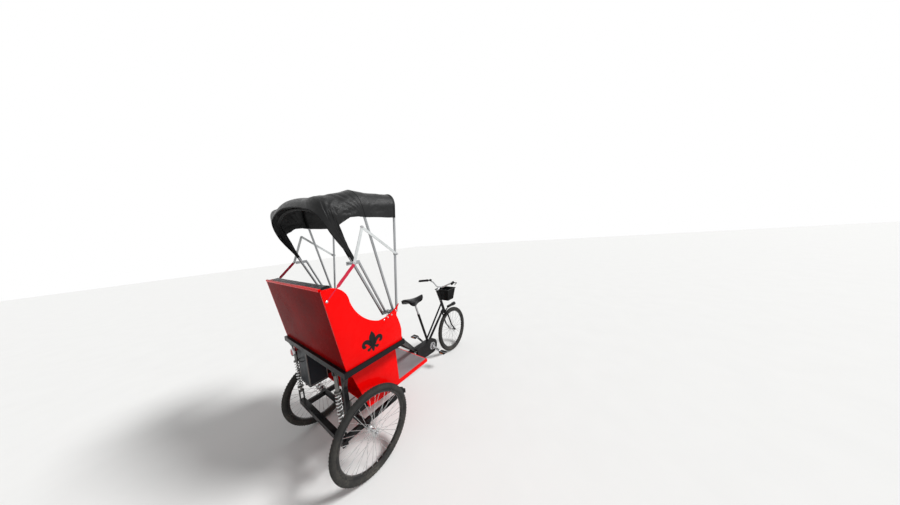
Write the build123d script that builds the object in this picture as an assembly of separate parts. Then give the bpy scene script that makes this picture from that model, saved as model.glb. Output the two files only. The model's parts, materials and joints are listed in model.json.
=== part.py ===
from build123d import *
import os
from math import atan2, cos, radians, sin, sqrt, tan

os.makedirs("parts", exist_ok=True)

# A cycle rickshaw: the front half of a bicycle and a red two-seat tub under a folding hood.
# Millimetres, +Z up, ground at Z = 0, front wheel towards -Y, the rider's left towards +X.
# "ahead" is a distance in front of the rear axle, "behind" is a distance to its rear.

# Placing of the whole vehicle
rear_axle_y = 865.0
wheelbase = 1730.0
track = 932.0

# Wheels
wheel_radius = 330.0
tyre_width = 46.0
tyre_depth = 44.0
tread_half_width = 10.0
rim_depth = 19.0
rim_width = 30.0
spoke_count = 36
spoke_size = 2.2
spoke_lead = 48.0
hub_length = 80.0
hub_radius = 17.0
flange_radius = 30.0
flange_spacing = 56.0
flange_thickness = 3.0
axle_radius = 8.0
running_gap = 0.06
seat_gap = 0.3
nut_height = 10.0
nut_radius = 13.0

# Seat frame: square tubes round the seat base
tube_size = 40.0
hoop_inset = 10.0
hoop_z = 935.0
hoop_rear = 185.0
hoop_front = 290.0
arm_end_ahead = 880.0
arm_end_x = 34.0
arm_end_z = 408.0

# Spine and lower frame
spine_z = 385.0
spine_height = 50.0
spine_width = 50.0
lower_cross_z = 420.0
lower_cross_ahead = 300.0
post_size = 30.0
rail_z = 500.0
rear_post_behind = 130.0
strut_foot_z = 740.0
strut_size = 24.0

# Swinging rear frame
swing_inset = 34.0
swing_width = 26.0
swing_height = 44.0
swing_pivot_ahead = 400.0
swing_pivot_radius = 10.0
beam_behind = 185.0
beam_rise = 20.0
beam_size = 40.0
axle_tube_radius = 22.0
axle_tube_half = 400.0

# Final drive
drive_case_radius = 58.0

# Spring units
shock_x = 390.0
shock_top_z = 893.0
shock_foot_z = 450.0
shock_body_radius = 14.0
shock_rod_radius = 8.0
spring_radius = 18.0
spring_wire = 8.0
spring_turns = 8
spring_top_z = 745.0
spring_foot_z = 500.0
eye_radius = 12.0
eye_length = 24.0
lug_width = 26.0
lug_sheet = 6.0
lug_offset = eye_length / 2 + lug_sheet / 2 + 0.5

# Tub of painted sheet
panel_thickness = 12.0
tub_half_width = 560.0
panel_foot_z = hoop_z + tube_size / 2
back_foot_behind = 184.0
back_top_behind = 274.0
back_top_z = 1524.0
shoulder_width = 62.0
shoulder_depth = 107.0
shoulder_drop = 116.0
arm_rest_ahead = 100.0
arm_rest_z = 1194.0
arm_tip_ahead = 300.0
arm_tip_rise = 70.0
notch_depth = 38.0
notch_drop = 18.0
belly_z = 1040.0
panel_front_ahead = 290.0
seat_board_thickness = 14.0
cushion_height = 85.0
cushion_front = 300.0
cushion_side_gap = 8.0
back_cushion_depth = 90.0
back_cushion_top_depth = 50.0
back_cushion_roll = 60.0
back_cushion_proud = 34.0
box_half_width = 400.0
box_wall = 6.0
box_foot_z = 460.0
box_rear_behind = 114.0
box_floor_rear = 26.0
box_floor_kink = 221.0
box_front_ahead = 332.0
floor_half_width = 340.0
floor_z = 450.0
floor_front = 780.0
floor_depth = 32.0
mat_thickness = 4.0
mat_inset = 15.0
tray_rear = 342.0
tray_sheet = 6.0
tray_lip = 12.0

# Bicycle half
bracket_ahead = 1175.0
bracket_z = 333.0
bracket_radius = 22.0
bracket_half = 34.0
spindle_radius = 8.5
saddle_ahead = 985.0
saddle_z = 1000.0
saddle_half_width = 100.0
saddle_nose = 20.0
saddle_front = 150.0
saddle_rear = 140.0
saddle_height = 72.0
saddle_corner = 12.0
saddle_edge = 14.0
seat_tube_radius = 16.0
seat_post_radius = 13.0
head_angle = 72.0
rake = 45.0
head_radius = 20.0
crown_clearance = 12.08
crown_height = 28.0
head_clearance = 13.0
head_length = 180.0
stem_rise = 182.0
steerer_rise = 155.0
steerer_radius = 13.0
down_radius = 16.0
upper_down_radius = 12.0

# Crank and chain
crank_length = 165.0
crank_rest = -50.0
crank_plane = 84.0
crank_thickness = 13.0
crank_width = 24.0
chain_x = -52.0
ring_radius = 66.0
sprocket_radius = 40.0
case_radius = 93.0
case_width = 34.0
case_wall = 2.5
case_end_ahead = 900.0
case_end_height = 152.0
case_hole_radius = 52.0

# Hood
pivot_ahead = 235.0
pivot_z = 1205.0
bow_radius = 10.0
bow_gap = 6.0
crown_radius = 1200.0
rear_top_z = 2120.0
rear_crown = 125.0
rear_corner = 160.0
rear_foot_behind = 45.0
middle_top_z = 2200.0
middle_crown = 20.0
middle_corner = 130.0
middle_foot_ahead = 40.0
front_top_z = 2200.0
front_crown = 30.0
front_corner = 100.0
front_foot_ahead = 55.0
fabric = 5.0
fabric_gap = 0.6

# Places that follow from the sizes above
hoop_half_width = tub_half_width - hoop_inset
inner_face = tub_half_width - panel_thickness
front_leg_x = inner_face - bow_gap - bow_radius
middle_leg_x = front_leg_x - 2 * bow_radius - bow_gap
rear_leg_x = middle_leg_x - 2 * bow_radius - bow_gap
post_x = box_half_width - box_wall - seat_gap - post_size / 2
post_top = hoop_z - tube_size / 2
beam_z = wheel_radius + beam_rise
swing_x = post_x - swing_inset


def at(x, ahead, z):
    """A point given by its distance ahead of the rear axle."""
    return Vector(x, rear_axle_y - ahead, z)


def rod(p, q, radius):
    """Round bar between two points."""
    along = Vector(q) - Vector(p)
    plane = Plane(origin=p, z_dir=along)
    return plane * Cylinder(radius, along.length, align=(Align.CENTER, Align.CENTER, Align.MIN))


def bar(p, q, width, height, across=(1, 0, 0)):
    """Rectangular bar between two points, its width lying along the given direction."""
    along = Vector(q) - Vector(p)
    side = Vector(across) - along.normalized() * Vector(across).dot(along.normalized())
    plane = Plane(origin=p, x_dir=side, z_dir=along)
    return plane * Box(width, height, along.length, align=(Align.CENTER, Align.CENTER, Align.MIN))


def block(x, ahead, z, size_x, size_y, size_z):
    """Box centred on a point."""
    return Pos(at(x, ahead, z)) * Box(size_x, size_y, size_z)


def across(x, ahead, z, radius, length):
    """Cylinder along X, centred on a point."""
    return Pos(at(x, ahead, z)) * Rot(0, 90, 0) * Cylinder(radius, length)


def side_profile(edges, low_x, high_x):
    """Solid between two X planes from a closed outline drawn with (behind, z) points."""
    flat = Plane(origin=(low_x, rear_axle_y, 0), x_dir=(0, 1, 0), z_dir=(1, 0, 0))
    face = make_face([flat * edge for edge in edges])
    return extrude(face, amount=high_x - low_x, dir=(1, 0, 0))


def bulged(p, q, rise):
    """Middle point of an arc between two points, raised to the left of the way from p to q."""
    run_x, run_y = q[0] - p[0], q[1] - p[1]
    length = sqrt(run_x ** 2 + run_y ** 2)
    return ((p[0] + q[0]) / 2 - rise * run_y / length, (p[1] + q[1]) / 2 + rise * run_x / length)


def mirrored(solid):
    """The solid and its mirror image on the other side of the vehicle."""
    return [solid, mirror(solid, about=Plane.YZ)]


def save(name, *solids):
    """Writes one node."""
    flat = []
    for solid in solids:
        flat.extend(solid if isinstance(solid, list) else [solid])
    pieces = [piece for shape in flat for piece in shape.solids()]
    export_step(pieces[0] if len(pieces) == 1 else Compound(children=pieces), f"parts/{name}.step")


def ring(profile):
    """Solid of revolution about X from (x, radius) points."""
    outline = Polyline(*profile, close=True)
    return revolve(make_face(outline), axis=Axis.X)


# Wheels: tyre, rim, and hub with crossed spokes
rim_outer = wheel_radius - tyre_depth
rim_inner = rim_outer - rim_depth


def make_tyre():
    half, bead = tyre_width / 2, rim_width / 2
    widest = wheel_radius - 0.42 * tyre_depth
    return ring([
        (-bead, rim_outer + seat_gap), (-half, widest), (-tread_half_width, wheel_radius),
        (tread_half_width, wheel_radius), (half, widest), (bead, rim_outer + seat_gap),
    ])


def make_rim():
    half = rim_width / 2
    return ring([(-half, rim_outer), (-half, rim_inner + 8), (-half + 7, rim_inner),
                 (half - 7, rim_inner), (half, rim_inner + 8), (half, rim_outer)])


def make_spoked_hub():
    side = flange_spacing / 2
    bore = axle_radius + running_gap
    outline = [(-hub_length / 2, bore), (-hub_length / 2, 12), (-side - 3, 12), (-side - 3, flange_radius),
               (-side, flange_radius), (-side, hub_radius)]
    outline += [(-x, r) for x, r in reversed(outline)]
    hub = ring(outline)
    spokes = []
    step = 360 / spoke_count
    for number in range(spoke_count):
        flange = side + flange_thickness / 2 if number % 2 else -side - flange_thickness / 2
        lead = spoke_lead if (number // 2) % 2 else -spoke_lead
        rim_angle = radians(number * step)
        hub_angle = radians(number * step - lead)
        foot = flange_radius - 5
        tip = rim_inner - seat_gap
        p = Vector(flange, foot * cos(hub_angle), foot * sin(hub_angle))
        q = Vector(flange * 0.1, tip * cos(rim_angle), tip * sin(rim_angle))
        spokes.append(bar(p, q, spoke_size, spoke_size))
    return hub + spokes


tyre, rim, spoked_hub = make_tyre(), make_rim(), make_spoked_hub()
wheels = {
    "left": at(track / 2, 0, wheel_radius),
    "right": at(-track / 2, 0, wheel_radius),
    "front": at(0, wheelbase, wheel_radius),
}
for side, centre in wheels.items():
    save(f"{side}_tyre", Pos(centre) * tyre)
    save(f"{side}_rim", Pos(centre) * rim)
    save(f"{side}_spoked_hub", Pos(centre) * spoked_hub)

# Rear axle: one shaft with a nut outside each hub
axle_end = track / 2 + hub_length / 2 + seat_gap + nut_height
nut = extrude(RegularPolygon(nut_radius, 6), amount=nut_height)
nut_x = axle_end - nut_height
rear_axle = across(0, 0, wheel_radius, axle_radius, 2 * axle_end + 6)
rear_axle += [Pos(at(nut_x, 0, wheel_radius)) * Rot(0, 90, 0) * nut,
              Pos(at(-nut_x, 0, wheel_radius)) * Rot(0, -90, 0) * nut]
collar_x = track / 2 - hub_length / 2 - seat_gap
collar_length = collar_x - axle_tube_half - seat_gap
for sign in (-1, 1):
    rear_axle += across(sign * (collar_x - collar_length / 2), 0, wheel_radius, 13, collar_length)
save("rear_axle", rear_axle)

# Swinging rear frame: axle tube, two arms, rear beam and the lugs under the spring units
swing = across(0, 0, wheel_radius, axle_tube_radius, 2 * axle_tube_half)
for sign in (-1, 1):
    swing += bar(at(sign * swing_x, swing_pivot_ahead, wheel_radius),
                 at(sign * swing_x, -beam_behind, wheel_radius), swing_width, swing_height)
    swing += across(sign * swing_x, swing_pivot_ahead, wheel_radius, swing_height / 2, swing_width)
    for offset in (-1, 1):
        swing += block(sign * shock_x, -beam_behind - offset * lug_offset, (beam_z + shock_foot_z) / 2 + 8,
                       lug_width, lug_sheet, shock_foot_z - beam_z + 16)
swing += block(0, -beam_behind, beam_z, 2 * (shock_x + 14), beam_size, beam_size)
swing -= across(0, 0, wheel_radius, axle_radius + seat_gap, 2 * axle_tube_half + 10)
swing -= across(0, swing_pivot_ahead, wheel_radius, swing_pivot_radius + seat_gap, 2 * swing_x + 100)
save("swing_frame", swing)

# Final drive case on the axle tube, with the driven sprocket on its right
drive_case = across(-10, 0, wheel_radius, drive_case_radius, 60)
drive_case += across(chain_x, 0, wheel_radius, sprocket_radius - 4, 4)
drive_case += across(chain_x / 2 - 12, 0, wheel_radius, 30, -chain_x + 10)
drive_case -= across(0, 0, wheel_radius, axle_tube_radius, 400)
save("final_drive", drive_case)

# Seat frame hoop
hoop_length = hoop_front + hoop_rear + tube_size
hoop = Part()
for sign in (-1, 1):
    hoop += block(sign * hoop_half_width, (hoop_front - hoop_rear) / 2, hoop_z, tube_size, hoop_length, tube_size)
for ahead in (-hoop_rear, hoop_front):
    hoop += block(0, ahead, hoop_z, 2 * hoop_half_width, tube_size, tube_size)
for sign in (-1, 1):
    for offset in (-1, 1):
        hoop += block(sign * shock_x, -hoop_rear - offset * lug_offset, post_top - 17, lug_width, lug_sheet, 34)
save("seat_hoop", hoop)

# Side arms from the hoop's front corners in to the spine
spine = block(0, (bracket_ahead - 25 + 280) / 2, spine_z, spine_width, bracket_ahead - 25 - 280, spine_height)
arms = []
for sign in (-1, 1):
    arm = bar(at(sign * hoop_half_width, hoop_front + tube_size / 2 - 14, hoop_z),
              at(sign * (arm_end_x - 12), arm_end_ahead + 10, arm_end_z), tube_size - 4, tube_size - 4)
    arms.append(arm - hoop - spine)
arms = [max(arm.solids(), key=lambda piece: piece.volume) for arm in arms]
save("side_arms", arms)

# Spine, lower cross tube, rails and posts of the box frame, pivots of the swinging frame and the rear struts
lower = spine + block(0, lower_cross_ahead, lower_cross_z, 2 * post_x, tube_size, tube_size)
for sign in (-1, 1):
    lower += block(sign * post_x, lower_cross_ahead, (lower_cross_z + post_top) / 2,
                   post_size, post_size, post_top - lower_cross_z)
    lower += block(sign * post_x, -rear_post_behind, (rail_z - post_size / 2 + post_top) / 2,
                   post_size, post_size, post_top - rail_z + post_size / 2)
    lower += block(sign * post_x, (lower_cross_ahead - rear_post_behind) / 2, rail_z, post_size,
                   lower_cross_ahead + rear_post_behind, post_size)
    for inner in (-1, 1):
        x = sign * swing_x + inner * (swing_width / 2 + 4.5)
        lug_front = -swing_pivot_ahead - swing_height / 2
        lug = Polyline((lug_front, wheel_radius - swing_height / 2), (-lower_cross_ahead, lower_cross_z - 18),
                       (-lower_cross_ahead, lower_cross_z + 18), (lug_front, wheel_radius + swing_height / 2),
                       close=True)
        lower += side_profile([lug], x - 3, x + 3)
    lower += across(sign * swing_x, swing_pivot_ahead, wheel_radius, swing_pivot_radius, swing_width + 24)
spine_top = spine_z + spine_height / 2
bearer_top = floor_z - tray_sheet - seat_gap
for ahead in (tray_rear + 60, floor_front - 60):
    lower += block(0, ahead, (spine_top + bearer_top) / 2, 2 * (floor_half_width - tray_lip - 2), 30,
                   bearer_top - spine_top)
save("spine_frame", lower)

struts = []
for sign in (-1, 1):
    strut = bar(at(sign * (hoop_half_width - 6), -hoop_rear, hoop_z - 10),
                at(sign * post_x, -rear_post_behind, strut_foot_z), strut_size, strut_size, across=(0, 1, 0))
    strut = strut - hoop - lower
    struts.append(max(strut.solids(), key=lambda piece: piece.volume))
save("rear_struts", struts)

# Spring units between the beam and the hoop
dampers, springs = [], []
for sign in (-1, 1):
    def up(z):
        return at(sign * shock_x, -hoop_rear, z)

    eye = Rot(90, 0, 0) * Cylinder(eye_radius, eye_length)
    unit = rod(up(shock_foot_z + 6), up(spring_top_z + 20), shock_rod_radius)
    unit += rod(up(spring_top_z + 8), up(shock_top_z - 16), shock_body_radius)
    unit += rod(up(shock_top_z - 20), up(shock_top_z), shock_rod_radius)
    unit += rod(up(spring_top_z), up(spring_top_z + 9), spring_radius + 6)
    unit += rod(up(spring_foot_z - 9), up(spring_foot_z), spring_radius + 6)
    unit += [Pos(up(shock_foot_z)) * eye, Pos(up(shock_top_z)) * eye]
    dampers.append(unit)
    pitch = (spring_top_z - spring_foot_z) / spring_turns
    inner = shock_rod_radius + seat_gap
    valley, crest = spring_radius - spring_wire / 2, spring_radius + spring_wire / 2
    wave = [(spring_foot_z + seat_gap, inner), (spring_foot_z + seat_gap, valley)]
    for turn in range(spring_turns):
        low = spring_foot_z + turn * pitch
        wave += [(low + 0.5 * pitch, crest), (min(low + pitch, spring_top_z - seat_gap), valley)]
    wave += [(spring_top_z - seat_gap, inner)]
    outline = Polyline(*[(radius, z) for z, radius in wave], close=True)
    coil = revolve(make_face(Plane.XZ * outline), axis=Axis.Z)
    springs.append(Pos(sign * shock_x, rear_axle_y + hoop_rear, 0) * coil)
save("dampers", dampers)
save("springs", springs)

# Tub sides: high rounded back corner, scooped arm rest rising to a pointed front. Points are (behind, z)
shoulder_start = (back_top_behind - shoulder_width, back_top_z + 2)
shoulder_end = (shoulder_start[0] - shoulder_depth, shoulder_start[1] - shoulder_drop)
arm_rest = (-arm_rest_ahead, arm_rest_z)
arm_tip = (-arm_tip_ahead, arm_rest_z + arm_tip_rise)
notch = (-arm_tip_ahead + notch_depth, arm_rest_z - notch_drop)
belly = (-arm_tip_ahead + 3, belly_z)
front_foot = (-panel_front_ahead, panel_foot_z)
side_edges = [
    Line((back_foot_behind, panel_foot_z), (back_top_behind, back_top_z)),
    Line((back_top_behind, back_top_z), shoulder_start),
    ThreePointArc(shoulder_start, bulged(shoulder_start, shoulder_end, 19.4), shoulder_end),
    ThreePointArc(shoulder_end, bulged(shoulder_end, arm_rest, -32.0), arm_rest),
    ThreePointArc(arm_rest, bulged(arm_rest, arm_tip, -18.0), arm_tip),
    ThreePointArc(arm_tip, bulged(arm_tip, notch, -5.6), notch),
    ThreePointArc(notch, bulged(notch, belly, -4.3), belly),
    Line(belly, front_foot),
    Line(front_foot, (back_foot_behind, panel_foot_z)),
]
right_side = side_profile(side_edges, -tub_half_width, -inner_face)
save("right_side_panel", right_side)
save("left_side_panel", mirror(right_side, about=Plane.YZ))

# Leaning back panel between the sides, with its rolled top edge
lean = atan2(back_top_behind - back_foot_behind, back_top_z - panel_foot_z)
back_step = panel_thickness / cos(lean)
back_outline = Polyline((back_foot_behind, panel_foot_z), (back_top_behind, back_top_z),
                        (back_top_behind - back_step, back_top_z), (back_foot_behind - back_step, panel_foot_z),
                        close=True)
back_panel = side_profile([back_outline], -inner_face, inner_face)
save("back_panel", back_panel)

# Seat board on the hoop, and the red box below it with sloping rear edges
board_rear = back_foot_behind - back_step - 2
board_z = panel_foot_z + seat_board_thickness / 2
board_front = hoop_front + 18
save("seat_board", block(0, (board_front - board_rear) / 2, board_z, 2 * inner_face, board_front + board_rear,
                         seat_board_thickness))

# Outline of the box, as (behind, z): sloping rear edge, kinked floor, near upright front
box_inside = box_half_width - box_wall
box_rear_top = (box_rear_behind, post_top)
box_rear_foot = (-box_floor_rear, box_foot_z + 16)
box_kink = (-box_floor_kink, box_foot_z)
box_front_foot = (-box_front_ahead - 7, box_foot_z + 37)
box_front_top = (-box_front_ahead, post_top)
box_outline = Polyline(box_rear_top, box_rear_foot, box_kink, box_front_foot, box_front_top, close=True)
box_side = side_profile([box_outline], box_inside, box_half_width)


def inward(point, back, up):
    return (point[0] + back * box_wall, point[1] + up * box_wall)


front_sheet = Polyline(inward(box_front_top, 1, 0), box_front_top, box_front_foot, inward(box_front_foot, 1, 0),
                       close=True)
floor_sheet = Polyline(box_rear_foot, box_kink, box_front_foot, inward(box_front_foot, 1, 0.9),
                       inward(box_kink, 0, 1), inward(box_rear_foot, 0, 1), close=True)
box_front = side_profile([front_sheet], -box_inside, box_inside)
box_floor = side_profile([floor_sheet], -box_inside, box_inside)
seat_box = box_front + box_floor + mirrored(box_side)
seat_box -= lower
seat_box = [piece for piece in seat_box.solids() if piece.volume > 2000]
save("seat_box", seat_box)

# Foot tray with a raised lip and a ribbed mat
tray_centre = (floor_front + tray_rear) / 2
tray_length = floor_front - tray_rear
tray = block(0, tray_centre, floor_z - floor_depth / 2, 2 * floor_half_width, tray_length, floor_depth)
tray -= block(0, tray_centre, floor_z - floor_depth / 2 - tray_sheet, 2 * (floor_half_width - tray_lip),
              tray_length - 2 * tray_lip, floor_depth)
save("foot_tray", tray)
save("foot_mat", block(0, tray_centre, floor_z + mat_thickness / 2, 2 * (floor_half_width - mat_inset),
                       tray_length - 2 * mat_inset, mat_thickness))

# Cushions
cushion_rear = board_rear - 8
cushion_z = panel_foot_z + seat_board_thickness + seat_gap
cushion_half_width = inner_face - cushion_side_gap
cushion = block(0, (cushion_front - cushion_rear) / 2, cushion_z + cushion_height / 2, 2 * cushion_half_width,
                cushion_front + cushion_rear, cushion_height)
behind_cushion = Polyline((cushion_rear - 30, cushion_z - 1), (back_foot_behind + 60, cushion_z - 1),
                          (back_foot_behind + 60, cushion_z + 120), (cushion_rear - 14, cushion_z + 120), close=True)
cushion -= side_profile([behind_cushion], -tub_half_width, tub_half_width)
save("seat_cushion", max(cushion.solids(), key=lambda piece: piece.volume))
rest_foot = cushion_z + cushion_height + 6
rise = (back_top_behind - back_foot_behind) / (back_top_z - panel_foot_z)


def back_line(z):
    return back_foot_behind - back_step - seat_gap - 0.2 + rise * (z - panel_foot_z)


rest_top = back_top_z + back_cushion_proud
rest_shoulder = rest_top - back_cushion_roll
rest_outline = Polyline((back_line(rest_foot), rest_foot), (back_line(rest_top), rest_top),
                        (back_line(rest_top) - back_cushion_top_depth, rest_top),
                        (back_line(rest_shoulder) - back_cushion_depth, rest_shoulder),
                        (back_line(rest_foot) - back_cushion_depth, rest_foot), close=True)
save("back_cushion", side_profile([rest_outline], -cushion_half_width, cushion_half_width))

# Battery case under the seat frame and the red tail lamp beside the left spring unit
battery_width, battery_depth, battery_height = 200.0, 150.0, 338.0
battery_behind = 110.0
battery_side_gap = 24.0
battery_corner = 10.0
battery_top = post_top - seat_gap
battery_x = post_x - post_size / 2 - battery_side_gap - battery_width / 2
battery = block(battery_x, -battery_behind, battery_top - battery_height / 2, battery_width, battery_depth,
                battery_height)
battery = fillet(battery.edges().filter_by(Axis.Z), battery_corner)
save("battery_case", battery)
lamp_x, lamp_z, lamp_radius, lamp_depth = 330.0, 868.0, 32.0, 24.0
hanger_size = 20.0
hanger_top = post_top - seat_gap
lamp_disc = Rot(90, 0, 0) * Cylinder(lamp_radius, lamp_depth)
lamp = Pos(at(lamp_x, -hoop_rear - hanger_size - lamp_depth / 2, lamp_z)) * lamp_disc
lamp += block(lamp_x, -hoop_rear - hanger_size / 2 - 2, (lamp_z + hanger_top) / 2, hanger_size, hanger_size,
              hanger_top - lamp_z)
save("tail_lamp", lamp)

# Bicycle half: bottom bracket, seat tube, twin down tubes and head tube
head = radians(head_angle)
steer_up = Vector(0, cos(head), sin(head))
hub_point = at(0, wheelbase, wheel_radius)
steer_foot = hub_point + Vector(0, sin(head), -cos(head)) * rake
fork_plane = Plane(origin=steer_foot, x_dir=(1, 0, 0), z_dir=steer_up)
crown_low = sqrt(wheel_radius ** 2 - rake ** 2) + crown_clearance
crown_middle = crown_low + crown_height / 2
head_low = crown_low + crown_height + head_clearance
head_high = head_low + head_length


def on_fork(x, rearward, height):
    """A point in the fork's own frame: across, behind the steering axis, up along it."""
    return steer_foot + Vector(x, 0, 0) + Vector(0, sin(head), -cos(head)) * rearward + steer_up * height


bracket_point = at(0, bracket_ahead, bracket_z)
saddle_point = at(0, saddle_ahead, saddle_z)
seat_line = (saddle_point - bracket_point).normalized()
seat_tube_top = bracket_point + seat_line * 500
bike = rod(bracket_point, seat_tube_top, seat_tube_radius)
bike += rod(on_fork(0, 0, head_low), on_fork(0, 0, head_high), head_radius)
bike += rod(bracket_point + seat_line * 34, on_fork(0, 0, head_low + 36), down_radius)
bike += rod(bracket_point + seat_line * 96, on_fork(0, 0, head_high - 40), upper_down_radius)
bike += across(0, bracket_ahead, bracket_z, bracket_radius, 2 * bracket_half)
bike -= across(0, bracket_ahead, bracket_z, spindle_radius + running_gap, 2 * bracket_half + 10)
bike -= rod(on_fork(0, 0, head_low - 5), on_fork(0, 0, head_high + 5), steerer_radius + running_gap)
bike -= rod(seat_tube_top - seat_line * 160, seat_tube_top + seat_line * 5, seat_post_radius)
bike -= spine
save("bicycle_frame", max(bike.solids(), key=lambda piece: piece.volume))

saddle_low = saddle_z - 0.3 * saddle_height - 0.4
post_rise = saddle_z - saddle_low + seat_gap + seat_post_radius * abs(seat_line.Y)
post_head = saddle_point - seat_line * (post_rise / seat_line.Z)
save("seat_post", rod(seat_tube_top - seat_line * 159, post_head, seat_post_radius))

# Saddle: wide at the back, narrow at the nose
half_saddle = [(saddle_nose, -saddle_front), (saddle_nose + 2, -60), (saddle_half_width, 70),
               (saddle_half_width, saddle_rear)]
saddle_outline = Polyline(*half_saddle, *[(-x, y) for x, y in reversed(half_saddle)], close=True)
saddle_plan = chamfer(make_face(saddle_outline).vertices(), saddle_corner)
saddle = extrude(Plane(origin=at(0, saddle_ahead + 5, saddle_low)) * saddle_plan, amount=saddle_height)
save("saddle", chamfer(saddle.faces().sort_by(Axis.Z)[-1].edges(), saddle_edge))

# Fork, with its axle
fork_top = head_high + steerer_rise
race_height = 6.0
crown_depth = 34.0
fork = rod(on_fork(0, 0, crown_low), on_fork(0, 0, fork_top), steerer_radius)
fork += fork_plane * Pos(0, 0, crown_middle) * Box(128, crown_depth, crown_height)
for sign in (-1, 1):
    leg = rod(on_fork(sign * 51, 0, crown_low + 4), on_fork(sign * 54, -4, 120), 11)
    leg += rod(on_fork(sign * 54, -4, 120), on_fork(sign * 55, -rake, 0), 9.5)
    leg += Pos(on_fork(sign * 54, -4, 120)) * Sphere(10.8)
    leg += Pos(hub_point + Vector(sign * 55, 0, 0)) * Rot(0, 90, 0) * Cylinder(15, 8)
    fork += leg
fork -= across(0, wheelbase, wheel_radius, flange_radius + 4, hub_length + 2 * seat_gap)
fork += across(0, wheelbase, wheel_radius, axle_radius, 2 * 66)
fork += fork_plane * Pos(0, 0, head_low - 5 - race_height / 2) * Cylinder(head_radius - 1, race_height)
save("fork", fork)

# Stem and swept handlebar
clamp_ahead_of_axis = 62.0
stem_height = head_high + stem_rise
stem = rod(on_fork(0, 0, head_high + 6), on_fork(0, 0, stem_height), 17)
stem += rod(on_fork(0, 0, stem_height - 12), on_fork(0, -clamp_ahead_of_axis, stem_height + 6), 14)
stem -= rod(on_fork(0, 0, head_high), on_fork(0, 0, fork_top), steerer_radius)
clamp = on_fork(0, -clamp_ahead_of_axis, stem_height + 6)
bar_radius = 11.0
bar_bend = 34.0
grip_radius = 16.0
grip_length = 128.0
lever_reach = 120.0
half_bar = [clamp, clamp + Vector(52, 0, 4), clamp + Vector(150, -45, 50), clamp + Vector(225, -45, 80),
            clamp + Vector(300, 100, 95)]
mirror_bar = [Vector(-point.X, point.Y, point.Z) for point in reversed(half_bar[1:])]
bar_path = FilletPolyline(*(mirror_bar + half_bar[1:]), radius=bar_bend)
bar_solid = sweep(Plane(origin=bar_path @ 0, z_dir=bar_path % 0) * Circle(bar_radius), path=bar_path)
save("handlebar", bar_solid + stem)
grip_start, grip_stop = half_bar[3], half_bar[4]
grip_run = (grip_stop - grip_start).normalized()
grips = []
levers = []
for sign in (-1, 1):
    def flip(point):
        return Vector(sign * point.X, point.Y, point.Z)

    low, high = flip(grip_stop - grip_run * grip_length), flip(grip_stop + grip_run * 6)
    sleeve = rod(low, high, grip_radius) - rod(low, flip(grip_stop), bar_radius)
    grips.append(sleeve)
    clamp_at = flip(grip_stop - grip_run * (grip_length + 9))
    lever = rod(clamp_at - flip(grip_run) * 6, clamp_at + flip(grip_run) * 6, 16)
    lever -= rod(clamp_at - flip(grip_run) * 30, clamp_at + flip(grip_run) * 30, bar_radius)
    lever_knee = clamp_at + Vector(sign * 34, -34, -12)
    lever_end = clamp_at + flip(grip_run) * lever_reach + Vector(sign * 46, 0, -14)
    lever += rod(clamp_at + Vector(sign * 14, -8, -6), lever_knee, 6)
    lever += rod(lever_knee, lever_end, 5)
    levers.append(lever)
save("grips", grips)
save("brake_levers", levers)

# Head lamp on the crown and the small front basket
lamp_clearance = 16.0
lamp_shell, lamp_rim = 20.0, 26.0
lamp_length, rim_length = 180.0, 60.0
lamp_axis_z = 2 * wheel_radius + lamp_clearance + lamp_rim
lamp_tip_ahead = wheelbase + 120
lamp_rear_ahead = lamp_tip_ahead - lamp_length
rim_rear_ahead = lamp_tip_ahead - rim_length
lamp_body = rod(at(0, lamp_rear_ahead, lamp_axis_z), at(0, rim_rear_ahead, lamp_axis_z), lamp_shell)
lamp_body += rod(at(0, rim_rear_ahead, lamp_axis_z), at(0, lamp_tip_ahead, lamp_axis_z), lamp_rim)
bracket = bar(on_fork(0, -crown_depth / 2 - 0.5, crown_middle), at(0, lamp_rear_ahead + 8, lamp_axis_z - 6), 16, 8)
save("head_lamp", lamp_body + bracket)

basket_drop = 46.7
basket_height = 170.0
basket_ahead_of_bar = 29.9
basket_length, basket_width = 190.0, 240.0
basket_foot_length, basket_foot_width = 130.0, 170.0
basket_rim, rim_height = 4.0, 12.0
basket_wall = 4.0
basket_top_z = clamp.Z - basket_drop
basket_low_z = basket_top_z - basket_height
basket_near = rear_axle_y - clamp.Y + basket_ahead_of_bar
basket_mid = basket_near + basket_length / 2 + 5


def basket_shell(grow, low_z, high_z):
    foot = Plane(origin=at(0, basket_mid, low_z)) * Rectangle(basket_foot_width + grow, basket_foot_length + grow)
    head_face = Plane(origin=at(0, basket_mid, high_z)) * Rectangle(basket_width + grow, basket_length + grow)
    return loft([foot, head_face])


basket = basket_shell(0, basket_low_z, basket_top_z)
basket += block(0, basket_mid, basket_top_z - rim_height / 2, basket_width + 2 * basket_rim,
                basket_length + 2 * basket_rim, rim_height)
basket -= basket_shell(-2 * basket_wall, basket_low_z + basket_wall, basket_top_z)
basket -= block(0, basket_mid, basket_top_z + 10, basket_width - 2 * basket_wall,
                basket_length - 2 * basket_wall, 24)
hook_thickness = 4.0
hook_seat = bar_radius + seat_gap + hook_thickness / 4
for sign in (-1, 1):
    hook_x = sign * 30
    hook_low = at(hook_x, basket_near + 11, basket_top_z - rim_height)
    hook_high = Vector(hook_x, clamp.Y - hook_seat, clamp.Z + 4)
    basket += bar(hook_low, hook_high, 14, hook_thickness)
save("basket", basket)

# Crank set, with the chain wheel on the right
angle = radians(crank_rest)


def crank_end(sign):
    """Centre of the pedal spindle on the side given by its sign, right side pointing forward and down."""
    return Vector(0, sign * crank_length * cos(angle), -sign * crank_length * sin(angle))


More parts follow.
